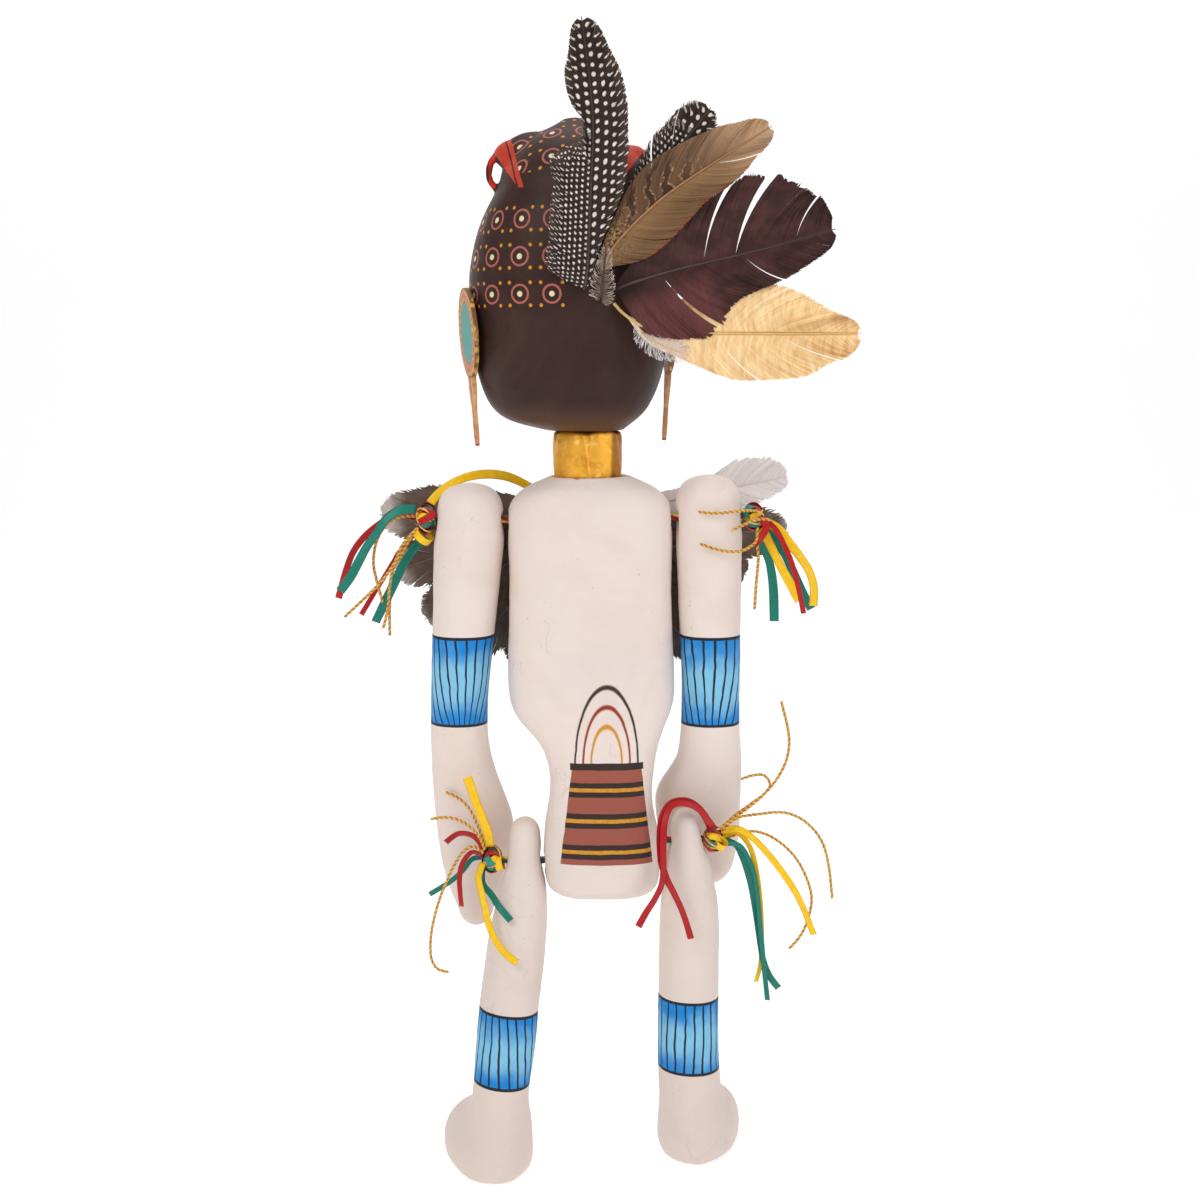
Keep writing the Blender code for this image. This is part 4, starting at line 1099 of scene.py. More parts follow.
class FIGURE_OT_castings(bpy.types.Operator):
    """Build the torso, arms and legs, painted cream with blue bands, arches and an apron"""

    bl_idname = "figure.castings"
    bl_label = "Torso and limbs"

    def execute(self, context):
        groups = shared_groups()
        for node in ("torso", "arm_left", "arm_right", "leg_left", "leg_right"):
            obj = sculpted(node, node + "_paper", sizes().paper_voxel)
            for vertex in obj.data.vertices:
                vertex.co.z = max(vertex.co.z, 0)
            decorate = back_field if node == "torso" else limb_band(node)
            dress(obj, frame_slot(node), node, surface=cream_paint(node, groups, decorate))
        return {"FINISHED"}


class FIGURE_OT_head(bpy.types.Operator):
    """Build the dark head with its red corners, ringed dots and plain skull face"""

    bl_idname = "figure.head"
    bl_label = "Head"

    def execute(self, context):
        obj = sculpted("head", "head_paper", sizes().paper_voxel, smooth=4, lumps=0.8)
        dress(obj, frame_slot("head"), "head", surface=helmet_paint(shared_groups()))
        return {"FINISHED"}


# Where the neck's gold leaf is half way up, how deep its seam is and how high its lap stands
NECK_LEAF_MIDDLE = 440
SEAM_DEPTH = 0.9
LAP_HEIGHT = 0.7


class FIGURE_OT_neck(bpy.types.Operator):
    """Build the neck, wrapped in crumpled gold leaf"""

    bl_idname = "figure.neck"
    bl_label = "Neck"

    def execute(self, context):
        obj = sculpted("neck", "neck_leaf", sizes().paper_voxel * 0.55, smooth=3, lumps=1.6,
                       creases=1.4)
        for vertex in obj.data.vertices:
            at = (vertex.co - ORIGIN) / SCALE
            up = at.z - NECK_LEAF_MIDDLE
            seam = math.exp(-((at.x + 6 + up * 0.12) / 1.2) ** 2)
            lap = 1 / (1 + math.exp(-(at.x - 6 + up * 0.05) * 1.5))
            if at.y < 0:
                vertex.co.y += (seam * SEAM_DEPTH - lap * LAP_HEIGHT) * SCALE
        dress(obj, frame_slot("neck"), "neck", surface=gilding(shared_groups()))
        return {"FINISHED"}


def frame_slot(node):
    """The record's material slot that holds a node."""
    return next(part["material_slot"] for part in frame["record"]["subparts"]
                if part["node"] == node)


def shared_groups():
    """The node groups that several materials place, made on first use."""
    makers = {"paper": paper_group, "band": stripe_band_group, "vane": vane_group,
              "ringed_dot": ringed_dot_group}
    for key, maker in makers.items():
        if key not in GROUPS:
            GROUPS[key] = maker()
    return GROUPS


GROUPS = {}


# Ear ornaments

# A disc's middle, its turn about the upright and its lean, in degrees
Ear = namedtuple("Ear", "middle turn lean")
EARS = {
    "ear_ornament_left": Ear((-77.6, -4, 514), 194, -4),
    "ear_ornament_right": Ear((42.8, 27, 516), 5, 3),
}
# The disc and its wavy tail: how far the rim is inset, how far the tail laps over the disc, and
# half the tail's least width
DISC_RADIUS = 26.5
PENDANT_LENGTH = 41.5
PENDANT_WIDTH = 14
PENDANT_WAVE = 1.2
CARD_THICKNESS = 2.5
CARD_BEVEL = 0.5
DISC_INSET = 1.3
TAIL_LAP = 1.5
THINNEST_TAIL = 0.35


def pendant_half(share):
    """Half the pendant's width at a share of its length."""
    return PENDANT_WIDTH / 2 * (1 - share) + PENDANT_WAVE * math.sin(3 * math.pi * share)


def card_ornament(node, ear):
    """A round card with a wavy tail below it, made flat and then stood beside the head."""
    disc = primitive(bpy.ops.mesh.primitive_circle_add, node + "_disc", vertices=96,
                     radius=DISC_RADIUS * SCALE, fill_type="NGON")
    bpy.ops.object.mode_set(mode="EDIT")
    bpy.ops.mesh.select_all(action="SELECT")
    bpy.ops.mesh.inset(thickness=DISC_INSET * SCALE, depth=0)
    bpy.ops.object.mode_set(mode="OBJECT")
    tail = primitive(bpy.ops.mesh.primitive_grid_add, node + "_tail", x_subdivisions=6,
                     y_subdivisions=40, size=1)
    for vertex in tail.data.vertices:
        share = 0.5 - vertex.co.y
        half = max(pendant_half(share), THINNEST_TAIL)
        down = -DISC_RADIUS + TAIL_LAP - PENDANT_LENGTH * share
        vertex.co = Vector((vertex.co.x * 2 * half, down, 0)) * SCALE
    card = joined([disc, tail], node + "_card")
    card.data.uv_layers.new(name="card")
    for other in [name for name in card.data.uv_layers.keys() if name != "card"]:
        card.data.uv_layers.remove(card.data.uv_layers[other])
    for loop in card.data.loops:
        at = card.data.vertices[loop.vertex_index].co / SCALE / CARD_SPAN
        card.data.uv_layers["card"].data[loop.index].uv = (at.x + 0.5, at.y + 0.5)
    wall = card.modifiers.new("thickness", "SOLIDIFY")
    wall.thickness = CARD_THICKNESS * SCALE
    wall.offset = 0
    rounded = card.modifiers.new("soft edge", "BEVEL")
    rounded.width = CARD_BEVEL * SCALE
    rounded.segments = 2
    rounded.limit_method = "ANGLE"
    apply_modifiers(card)
    quarter = math.radians(90)
    upright = Matrix.Rotation(quarter, 4, "Z") @ Matrix.Rotation(quarter, 4, "X")
    facing = Matrix.Rotation(math.radians(ear.turn), 4, "Z")
    lean = Matrix.Rotation(math.radians(ear.lean), 4, "Y")
    card.matrix_world = Matrix.Translation(place(*ear.middle)) @ lean @ facing @ upright
    apply_place(card)
    return card


class FIGURE_OT_ears(bpy.types.Operator):
    """Build the round card ornaments beside the head"""

    bl_idname = "figure.ears"
    bl_label = "Ear ornaments"

    def execute(self, context):
        surface = card_paint()
        for node, ear in EARS.items():
            dress(card_ornament(node, ear), "card_paint", node, surface=surface)
        return {"FINISHED"}


# Feathers

# A feather: its shaft's root and points, the widths of both vanes along it, how far its barbs
# lean at either end, where a vane is split and how far open, how unruly its barbs are, how much
# each waves, and how much of the gap to the next barb it covers
Feather = namedtuple("Feather", "root spine upper lower lean splits loose fluff cover",
                     defaults=[0, 1])
PLUMES = {
    "plume_guinea_tall": Feather(
        (-9, 538), [(-7, -55, 549), (-5, -62.5, 592), (-4, -67.5, 631), (-10, -73, 681)],
        [15, 23, 22.5, 22, 21, 22, 5, 11, 13, 9, 1], [1, 3, 7, 13, 18, 19, 19, 19, 17, 12, 1],
        (62, 40), {-1: [(0.585, 3), (0.42, 1), (0.2, 1)], 1: [(0.3, 0.8)]}, 0.7),
    "plume_guinea_short": Feather(
        (9, 553), [(14, -51, 562), (36, -54, 602), (61, -57, 636)],
        [1, 5, 11, 14, 15, 16, 14, 3], [1, 3, 7, 10, 11, 11, 10, 3],
        (50, 26), {-1: [(0.7, 1.2), (0.9, 1.5)], 1: [(0.55, 1), (0.8, 1.5)]}, 1.3),
    "plume_pheasant": Feather(
        (1, 549), [(8.5, -54, 562), (24, -58, 578), (40, -60.5, 591), (63, -62.5, 606),
                   (94, -64, 625)],
        [1, 5, 9, 14, 18, 19.5, 18.5, 17, 15, 11, 2], [1, 12, 18, 20, 19.5, 17.5, 15, 15, 13, 9, 2],
        (48, 26), {-1: [(0.5, 0.4)], 1: [(0.35, 0.8), (0.9, 1.2)]}, 0.35),
    "plume_burgundy": Feather(
        (9, 538), [(17, -51, 541), (45, -54.5, 549), (89, -58.5, 559), (130, -62, 570)],
        [1, 8, 17, 25, 28, 33, 38, 41, 37, 29, 3], [12, 29, 36, 39, 40, 27, 22, 20, 17, 13, 3],
        (58, 44), {-1: [(0.6, 1.6), (0.8, 3.6), (0.965, 1)], 1: [(0.44, 2.2), (0.74, 0.8)]},
        0.5),
    "plume_gold": Feather(
        (8, 530), [(15, -47, 523), (30, -49, 515), (57, -53, 513.5), (101, -57, 513),
                   (146, -59, 513)],
        [0, 1, 9, 18, 25, 28, 28, 26, 20, 12, 2], [0, 1, 8, 14, 20, 25, 26, 25, 23, 16, 3],
        (50, 30), {-1: [(0.72, 0.5)], 1: [(0.62, 0.6), (0.92, 1.2)]}, 0.45),
    "plume_down": Feather(
        (0, 531), [(1, -61, 534), (2, -66, 547), (3.5, -65, 560)],
        [3, 6, 7, 6, 4, 1], [3, 6, 7, 6, 4, 1],
        (70, 60), {-1: [(0.5, 1)], 1: [(0.4, 1)]}, 2.6, 2.2, 0.35),
}
# White fluff at the root of the gold plume
GOLD_FLUFF = Feather((20, 517), [(26, -50, 512), (36, -52, 506), (50, -53, 501)],
                     [2, 6, 8, 9, 8, 5], [2, 6, 8, 8, 6, 4],
                     (72, 50), {-1: [(0.5, 1)], 1: [(0.4, 1)]}, 2.4, 2.2, 0.5)
# A shaft's radius at both ends, the steps along it, and how far it stands before the vanes
SHAFT_BASE = 0.95
SHAFT_TIP = 0.25
SHAFT_STEP = 2.5
SHAFT_LIFT = 0.35
BARB_STEPS = 8
# Shares of the feather: where its last barb starts, how much of its end is rounded, and how
# much of what is left past a barb's start it keeps clear
LAST_BARB = 0.985
ROUNDED_END = 0.13
CLEAR_OF_END = 0.2
# How far each barb ends past the one before, as a share of their even spacing
LEAST_LEAD = 0.1
# A vane's least width, in thousandths of a metre
LEAST_WIDTH = 0.4
# How much of a barb wears off, how far its clump shifts and curls it, and the clumps' rate
BARB_WEAR = 0.08
CLUMP_SHIFT = 0.9
CLUMP_CURL = 1.1
CLUMP_RATE = 0.22
# Curl, lift and the reach of a split, in thousandths of a metre
BARB_CURL = 0.9
BARB_LIFT = 0.5
SPLIT_REACH = 8
# Where a barb bends, as shares of its way across and along
BARB_BEND = (0.62, 0.34)
# Half a barb's width as a share of the gap to the nearest barb, and how far its edges are tilted
BARB_COVER = 0.64
BARB_TILT = 0.1


def edge_width(widths, share):
    """A vane's width, with a rounded end."""
    width = level([*widths[:-1], widths[-2]], share)
    past = max(0, (share - (1 - ROUNDED_END)) / ROUNDED_END)
    return width * math.sqrt(max(0, 1 - past * past)) + LEAST_WIDTH


def barb_rows(name, barbs):
    """Flat strips side by side, two rows of points each, one strip for each barb."""
    obj = primitive(bpy.ops.mesh.primitive_grid_add, name, x_subdivisions=BARB_STEPS,
                    y_subdivisions=2 * barbs - 1, size=1)
    between_barbs = [(face.index // BARB_STEPS) % 2 == 1 for face in obj.data.polygons]
    bpy.ops.object.mode_set(mode="EDIT")
    bpy.ops.mesh.select_mode(type="FACE")
    bpy.ops.mesh.select_all(action="DESELECT")
    bpy.ops.object.mode_set(mode="OBJECT")
    obj.data.polygons.foreach_set("select", between_barbs)
    bpy.ops.object.mode_set(mode="EDIT")
    bpy.ops.mesh.delete(type="FACE")
    bpy.ops.object.mode_set(mode="OBJECT")
    return obj


def vane(name, route, widths, side, feather, spacing, chance):
    """One side of a feather: a row of narrow barbs, each from the shaft to the vane's edge."""
    length = route.length / SCALE
    barbs = max(8, round(length / (spacing / SCALE)))
    obj = barb_rows(name, barbs)
    lines, shares, tones, places = [], [], [], []
    flow = chance.random() * 50
    furthest = 0
    for barb in range(barbs):
        start_share = (barb + 0.5) / barbs * LAST_BARB
        lean = feather.lean[0] + (feather.lean[1] - feather.lean[0]) * start_share
        width = edge_width(widths, start_share)
        lead = width / math.tan(math.radians(lean)) * SCALE / route.length
        end_share = min(start_share + lead, 1 - (1 - start_share) * CLEAR_OF_END)
        end_share = furthest = max(furthest + LEAST_LEAD / barbs, end_share)
        reach = edge_width(widths, end_share) * SCALE
        worn = 1 - BARB_WEAR * feather.loose * chance.random() ** 2
        clump = noise.noise((flow, end_share * length * CLUMP_RATE, side * 5))
        shift = clump * CLUMP_SHIFT * feather.loose * SCALE
        for split, opening in feather.splits.get(side, []):
            apart = (end_share - split) * length
            opened = math.exp(-abs(apart) / SPLIT_REACH) * opening
            shift += math.copysign(opened, apart) * SCALE
        root, tip = route.at(start_share), route.at(end_share)
        root_along, tip_along = route.along(start_share), route.along(end_share)
        root_across = Vector((0, 1, 0)).cross(root_along).normalized() * side
        tip_across = Vector((0, 1, 0)).cross(tip_along).normalized() * side
        tip = tip + tip_across * reach + tip_along * shift
        forward = root_along * (tip - root).dot(root_along)
        bend = root + root_across * reach * BARB_BEND[0] + forward * BARB_BEND[1]
        lift = (chance.random() - 0.5) * BARB_LIFT * SCALE
        curl = (BARB_CURL + clump * CLUMP_CURL * feather.loose) * SCALE
        wave = (chance.random() - 0.5) * feather.fluff * SCALE
        line = []
        for step in range(BARB_STEPS + 1):
            share = step / BARB_STEPS * worn
            at = root.lerp(bend, share).lerp(bend.lerp(tip, share), share)
            at = at + tip_along * math.sin(share * 5 + barb) * wave * share
            at.y += curl * share * share + lift * share
            line.append(at)
            places.append(((start_share + (end_share - start_share) * share) * length,
                           side * share * reach / SCALE))
        places += places[-BARB_STEPS - 1:]
        lines.append(line)
        shares += [step / BARB_STEPS for step in range(BARB_STEPS + 1)] * 2
        tones += [chance.random()] * (2 * BARB_STEPS + 2)
    spread_barbs(obj, lines, feather.cover)
    for attribute, values in (("share", shares), ("barb", tones)):
        obj.data.attributes.new(attribute, "FLOAT", "POINT").data.foreach_set("value", values)
    layer = obj.data.uv_layers[0]
    layer.name = "vane"
    for loop in obj.data.loops:
        along, across = places[loop.vertex_index]
        layer.data[loop.index].uv = (along / VANE_SPAN, across / VANE_SPAN + 0.5)
    return obj


def spread_barbs(obj, lines, cover):
    """Lay each barb's two rows of points beside its line, by its gap to the nearest barb."""
    for barb, line in enumerate(lines):
        near = []
        if barb > 0:
            near.append((lines[barb - 1], line))
        if barb < len(lines) - 1:
            near.append((line, lines[barb + 1]))
        for step, at in enumerate(line):
            gaps = [after[step] - before[step] for before, after in near]
            half = min(gaps, key=lambda gap: gap.length) * BARB_COVER * cover
            for row, edge in enumerate((-1, 1)):
                number = (2 * barb + row) * (BARB_STEPS + 1) + step
                tilt = Vector((0, edge * BARB_TILT * SCALE, 0))
                obj.data.vertices[number].co = at + half * edge + tilt


def feather_object(name, route, feather, spacing, seed, surface, shaft_paint, thick=1.0):
    """A whole feather: both vanes and a tapering shaft between them."""
    chance = random.Random(seed)
    sides = [vane(f"{name}_vane_{number}", route, widths, side, feather, spacing, chance)
             for number, (side, widths) in enumerate([(-1, feather.upper), (1, feather.lower)])]
    for side in sides:
        coat(side, surface)
    points = route.even(SHAFT_STEP * SCALE)
    radii = [(SHAFT_BASE + (SHAFT_TIP - SHAFT_BASE) * number / len(points)) * thick * SCALE
             for number in range(len(points))]
    points = [point - Vector((0, SHAFT_LIFT * SCALE, 0)) for point in points]
    shaft = rod(name + "_shaft", points, radii)
    coat(shaft, shaft_paint)
    return joined([*sides, shaft], name)


def plume_route(node, feather):
    """The line of a plume's shaft, from its planted root to its tip."""
    root = place(feather.root[0], 0, feather.root[1])
    root.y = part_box(node)[1].y - ROOT_DEPTH * SCALE
    return Route(through([root, *[place(*point) for point in feather.spine]], 6))


# How far before its solid's far side a shaft's root stays
ROOT_DEPTH = 0.9
# Each plume's feather and shaft, whose names are also its materials
PLUME_LOOKS = {
    "plume_guinea_tall": ("guinea_feather", "dark_shaft"),
    "plume_guinea_short": ("guinea_feather", "dark_shaft"),
    "plume_pheasant": ("pheasant_feather", "amber_shaft"),
    "plume_burgundy": ("burgundy_feather", "dark_shaft"),
    "plume_gold": ("gold_feather", "gilt_shaft"),
    "plume_down": ("down_feather", "dark_shaft"),
}
# Where the random numbers of the plumes and the fluff start, and the fluff's thinner shaft
PLUME_SEED = 20
FLUFF_SEED = 40
FLUFF_SHAFT = 0.5


class FIGURE_OT_plumes(bpy.types.Operator):
    """Build the plumes that stand in the back of the head"""

    bl_idname = "figure.plumes"
    bl_label = "Plumes"

    def execute(self, context):
        slots, shafts = zip(*PLUME_LOOKS.values())
        paints = {name: feather_surface(name) for name in dict.fromkeys(slots)}
        horns = {name: shaft_surface(name) for name in dict.fromkeys(shafts)}
        spacing = sizes().barb_spacing
        for number, (node, feather) in enumerate(PLUMES.items()):
            slot, shaft = PLUME_LOOKS[node]
            whole = feather_object(node + "_feather", plume_route(node, feather), feather,
                                   spacing, PLUME_SEED + number, paints[slot], horns[shaft])
            if node == "plume_gold":
                fluff = feather_object(node + "_fluff", plume_route(node, GOLD_FLUFF), GOLD_FLUFF,
                                       spacing, FLUFF_SEED, feather_surface("gold_fluff"),
                                       horns[shaft], FLUFF_SHAFT)
                whole = joined([whole, fluff], node + "_feather")
            dress(whole, slot, node)
        return {"FINISHED"}


# Collar

# The fan's middle, the directions of its first and last feather in degrees, how many feathers
# it has and how far they reach along it
COLLAR_MIDDLE = (-5, 29.5, 401)
COLLAR_START = -189
COLLAR_END = 20
COLLAR_FEATHERS = 13
COLLAR_REACH = [128, 134, 122, 122, 106, 106, 108, 108, 108, 106, 101, 108, 134, 112]
COLLAR_UPPER = [1, 6, 10, 13, 16, 18, 18, 15, 2]
WHITE_UPPER = [1, 3, 5, 6, 6, 10, 16, 15, 3]
WHITE_LOWER = [1, 4, 6, 8, 10, 14, 15, 11, 2]
# How far the barbs lean, how unruly they are, the shaft's thickness, and how far a feather may
# bend by chance
COLLAR_LEAN = (48, 34)
COLLAR_LOOSE = 1.4
COLLAR_SHAFT = 1.15
COLLAR_BEND = 7
# The depth of the even feathers, and how much deeper the odd ones lie
COLLAR_DEPTHS = (1.0, 3.4)
COLLAR_START_RADIUS = 3
# Each vane's split: the least share along it, how much further it may be, and its opening
COLLAR_SPLITS = {-1: (0.4, 0.4), 1: (0.5, 0.3)}
SPLIT_OPENING = 2
# Where the random numbers of the fan and of its feathers start
FAN_SEED = 7
COLLAR_SEED = 60


class FIGURE_OT_collar(bpy.types.Operator):
    """Build the fan of feathers on the chest, seen past both arms"""

    bl_idname = "figure.collar"
    bl_label = "Feather collar"

    def execute(self, context):
        grey, white = feather_surface("collar_feather"), feather_surface("white_feather")
        dark_horn, pale_horn = shaft_surface("collar_shaft"), shaft_surface("white_shaft")
        pieces = []
        chance = random.Random(FAN_SEED)
        for number in range(COLLAR_FEATHERS):
            share = (number + 0.5) / COLLAR_FEATHERS
            angle = math.radians(COLLAR_START + (COLLAR_END - COLLAR_START) * share)
            reach = level(COLLAR_REACH, share)
            bend = (chance.random() - 0.5) * COLLAR_BEND
            depth = COLLAR_DEPTHS[0] + COLLAR_DEPTHS[1] * (number % 2)
            way = Vector((math.cos(angle), 0, math.sin(angle)))
            side = Vector((-way.z, 0, way.x))
            middle = Vector(COLLAR_MIDDLE) + Vector((0, depth, 0))
            points = [middle + way * COLLAR_START_RADIUS, middle + way * reach * 0.5 + side * bend,
                      middle + way * reach]
            route = Route([place(*point) for point in through(points, 10)])
            splits = {vane_side: [(least + further * chance.random(), SPLIT_OPENING)]
                      for vane_side, (least, further) in COLLAR_SPLITS.items()}
            if number < COLLAR_FEATHERS - 1:
                upper, lower, surface, horn = COLLAR_UPPER, COLLAR_UPPER, grey, dark_horn
            else:
                upper, lower, surface, horn = WHITE_UPPER, WHITE_LOWER, white, pale_horn
            feather = Feather(None, None, upper, lower, COLLAR_LEAN, splits, COLLAR_LOOSE)
            pieces.append(feather_object(f"collar_feather_{number}", route, feather,
                                         sizes().collar_spacing, COLLAR_SEED + number, surface,
                                         horn, COLLAR_SHAFT))
        dress(joined(pieces, "collar_feathers"), "collar_feather", "feather_collar")
        return {"FINISHED"}


# Ribbons, cords and knots

# Widths: a cord's, and a ribbon's seen flat, turned a little and folded
CORD = 2
BROAD = 5.6
NARROW = 4.2
FOLDED = 3.2
# Steps along a finished ribbon, a strand and a cord's path, and along rough routes
RIBBON_STEP = 1.6
CORD_STEP = 0.45
PATH_STEP = 1.5
CORD_COARSE = 7.5
RIBBON_COARSE = 10
# A route is shown from where its squared distance from the knot's middle, counted in the knot's
# half sizes, passes this
KNOT_CLEAR = 1.35

# A knot's middle and half sizes, the way to the torso, and its tails from knot to end
Tie = namedtuple("Tie", "knot radii side tails")
Tail = namedtuple("Tail", "name color width points")

TIES = {
    "tie_shoulder_left": Tie((-104.5, 0, 403.5), (5.2, 8, 8.5), 1, [
        Tail("green_1", "green", BROAD,
             [(-108, -2, 407), (-114, -3, 412), (-120, -4, 409), (-128, -5, 404), (-135, -6, 394),
              (-142, -7, 384), (-148, -8, 372), (-156, -9, 361)]),
        Tail("red_1", "red", NARROW,
             [(-109, 3, 403), (-116, 4, 406), (-126, 5, 404), (-136, 6, 398), (-144, 7, 391),
              (-152, 8, 379), (-160, 10, 354)]),
        Tail("yellow_1", "yellow", BROAD,
             [(-102, 1, 413), (-97, 8, 419), (-88, 14, 425), (-79, 19, 428), (-70, 23, 429),
              (-60, 27, 428), (-52, 30, 425), (-46, 32, 422), (-41, 33, 419)]),
        Tail("gold_1", "gold", CORD,
             [(-110, 0.8, 405), (-118, 0.8, 405), (-125, 1, 403), (-132, 1, 396), (-136, 1, 386),
              (-137, 1, 375), (-135, 1, 365), (-132, 1, 353)]),
        Tail("gold_2", "gold", CORD,
             [(-108, -6, 400), (-114, -7, 394), (-120, -8, 386), (-123, -9, 378), (-131, -11, 367),
              (-141, -12, 357), (-153, -13, 346)]),
        Tail("gold_3", "gold", CORD,
             [(-108, -3, 397), (-113, -3, 393), (-120, -3.4, 382), (-125, -4, 373),
              (-127, -4.5, 361), (-128, -5, 350), (-131, -5, 338)]),
        Tail("gold_4", "gold", CORD,
             [(-107, 5.5, 394), (-115, 6, 385), (-125, 7, 375), (-128, 9, 358), (-129, 10, 345),
              (-129, 10, 331)]),
        Tail("red_2", "red", FOLDED,
             [(-110, 7.5, 398), (-115, 9, 391), (-121, 10, 384), (-130, 12, 370), (-139, 14, 356),
              (-147, 15, 343)]),
        Tail("green_2", "green", BROAD,
             [(-106, 0.5, 392), (-110, 0.8, 388), (-116, 1.4, 381), (-124, 4, 366),
              (-132, 4.5, 350), (-137, 5, 340)]),
    ]),
    "tie_shoulder_right": Tie((92.2, 0, 404.7), (5.2, 8.5, 7), -1, [
        Tail("gold_1", "gold", CORD,
             [(94, -8, 409), (88, -15, 410), (81, -20, 410), (68, -23, 409), (58, -23, 410)]),
        Tail("gold_2", "gold", CORD,
             [(94, -9, 399), (94, -11, 393), (90, -15, 389), (85, -20, 387), (78, -22.5, 386),
              (68, -23, 388), (59, -23, 391)]),
        Tail("gold_3", "gold", CORD,
             [(94, -4, 397), (94, -6, 391), (95, -8, 380), (94, -8, 369), (93, -8, 350)]),
        Tail("red_1", "red", FOLDED,
             [(96, -5, 406), (103, -8, 401), (110, -10, 389), (115, -12, 377), (119, -13, 362),
              (122, -13, 348)]),
        Tail("yellow_1", "yellow", BROAD,
             [(96, -2.2, 401), (102, -3, 389), (109, -5, 375), (120, -8, 355)]),
        Tail("yellow_2", "yellow", BROAD,
             [(97, 2, 403), (106, 2, 399), (115, 1, 388), (124, 0, 376), (129, -1, 365),
              (129, -2, 351)]),
        Tail("green_1", "green", BROAD,
             [(95, 1, 396), (98, 2, 388), (102, 2, 379), (105, 2, 363), (106, 2, 341)]),
        Tail("green_2", "green", BROAD,
             [(98, 5, 398), (104, 6, 391), (111, 7, 384), (118, 7, 370), (123, 7, 359),
              (129, 6, 348)]),
    ]),
    "tie_hip_left": Tie((-66.5, -1, 192), (5, 7.5, 7), 1, [
        Tail("yellow_1", "yellow", BROAD,
             [(-68, -2, 199), (-69, -5, 210), (-74, -7, 225), (-81, -8, 246)]),
        Tail("yellow_2", "yellow", NARROW,
             [(-72, -8, 192), (-74, -12, 188), (-74, -17, 182), (-71, -22, 174), (-69, -26, 166),
              (-66, -30, 156), (-59, -33, 145), (-50, -35, 138)]),
        Tail("red_1", "red", NARROW,
             [(-71, 3, 195), (-74, 4, 202), (-82, 5, 207), (-91, 6, 206), (-96, 6, 201)]),
        Tail("red_2", "red", FOLDED,
             [(-72, 1, 193), (-76, 1, 198), (-80, 0.5, 196), (-85, 0, 190), (-87, 0, 182),
              (-87, -1, 173), (-86, -1, 162)]),
        Tail("green_1", "green", FOLDED,
             [(-72, 5, 192), (-77, 6, 193), (-82, 7, 187), (-88, 8, 180), (-95, 9, 174),
              (-107, 11, 166)]),
        Tail("green_2", "green", NARROW,
             [(-72.5, -3.5, 188.5), (-74, -6, 185), (-72.5, -9, 180), (-67, -15, 175),
              (-61, -24, 169), (-54, -28, 162)]),
        Tail("gold_1", "gold", CORD,
             [(-70, 4.5, 197), (-75, 6, 209), (-80, 8, 220), (-87, 9, 228), (-96, 10, 232)]),
        Tail("gold_2", "gold", CORD,
             [(-71, -6, 200), (-74, -9, 209), (-79, -10, 215), (-86, -11, 220), (-94, -12, 222),
              (-103, -12, 221)]),
        Tail("gold_3", "gold", CORD,
             [(-72, -3, 197), (-80, -4, 202), (-85, -5, 197), (-90, -5, 190), (-94, -6, 181),
              (-99, -7, 169), (-104, -8, 150), (-105, -8, 134), (-102, -8, 125), (-94, -8, 122)]),
    ]),
    "tie_hip_right": Tie((69.8, -0.5, 205), (5, 8, 6.5), -1, [
        Tail("red_1", "red", NARROW,
             [(70, -5, 213), (66, -11, 220), (60, -14, 228), (52, -16, 232), (43, -19, 231),
              (39, -24, 223), (38, -28, 209), (38, -31, 195), (36, -33, 183), (28, -35, 170),
              (23, -36, 161)]),
        Tail("red_2", "red", NARROW,
             [(68, -3.3, 212), (65, -8.7, 220), (59, -11.5, 229), (52, -13.5, 233), (42, -17, 232),
              (37, -22, 224), (36, -26, 209), (38, -28.7, 194), (43, -29, 183), (50, -30, 168),
              (55, -32, 152)]),
        Tail("yellow_1", "yellow", NARROW,
             [(74, 0, 208), (78, -1, 212), (88, -3, 211), (100, -5, 201), (113, -7, 185),
              (123, -9, 169), (132, -10, 147)]),
        Tail("yellow_2", "yellow", FOLDED,
             [(75, 4, 204), (83, 5, 208), (89, 5, 205), (95, 5, 194), (99, 5, 174), (101, 5, 150),
              (101, 5, 124), (98, 5, 111)]),
        Tail("green_1", "green", NARROW,
             [(74, 1.5, 202), (79, 1.8, 205), (86, 2, 198), (93, 2, 179), (97, 2, 159),
              (101, 2, 132), (105, 2, 118), (112, 2, 108)]),
        Tail("green_2", "green", FOLDED,
             [(74, -2, 202), (82, -1.6, 203), (89, -1, 198), (96, -0.6, 181), (99, -0.5, 157),
              (102, -0.5, 127), (105, -0.5, 101)]),
        Tail("gold_1", "gold", CORD,
             [(72, -7, 213), (78, -9, 218), (87, -11, 225), (99, -13, 236), (107, -14, 246),
              (113, -15, 259), (114, -16, 274), (109, -17, 295)]),
        Tail("gold_2", "gold", CORD,
             [(74, 7.5, 207), (80, 9, 214), (92, 11, 223), (103, 12, 231), (106, 12, 237),
              (101, 12, 243), (94, 12, 242), (88, 12, 240)]),
        Tail("gold_3", "gold", CORD,
             [(74, -4, 208), (81, -5, 218), (88, -6, 221), (100, -7, 223), (113, -8, 224),
              (125, -9, 219), (135, -10, 208), (140, -10, 193), (143, -10, 170)]),
        Tail("gold_4", "gold", CORD,
             [(75, 7.5, 201), (89, 8.5, 207), (102, 9, 206), (115, 9, 198), (125, 9, 186),
              (132, 9, 169), (132, 9, 156), (127, 9, 141), (119, 9, 131)]),
    ]),
}


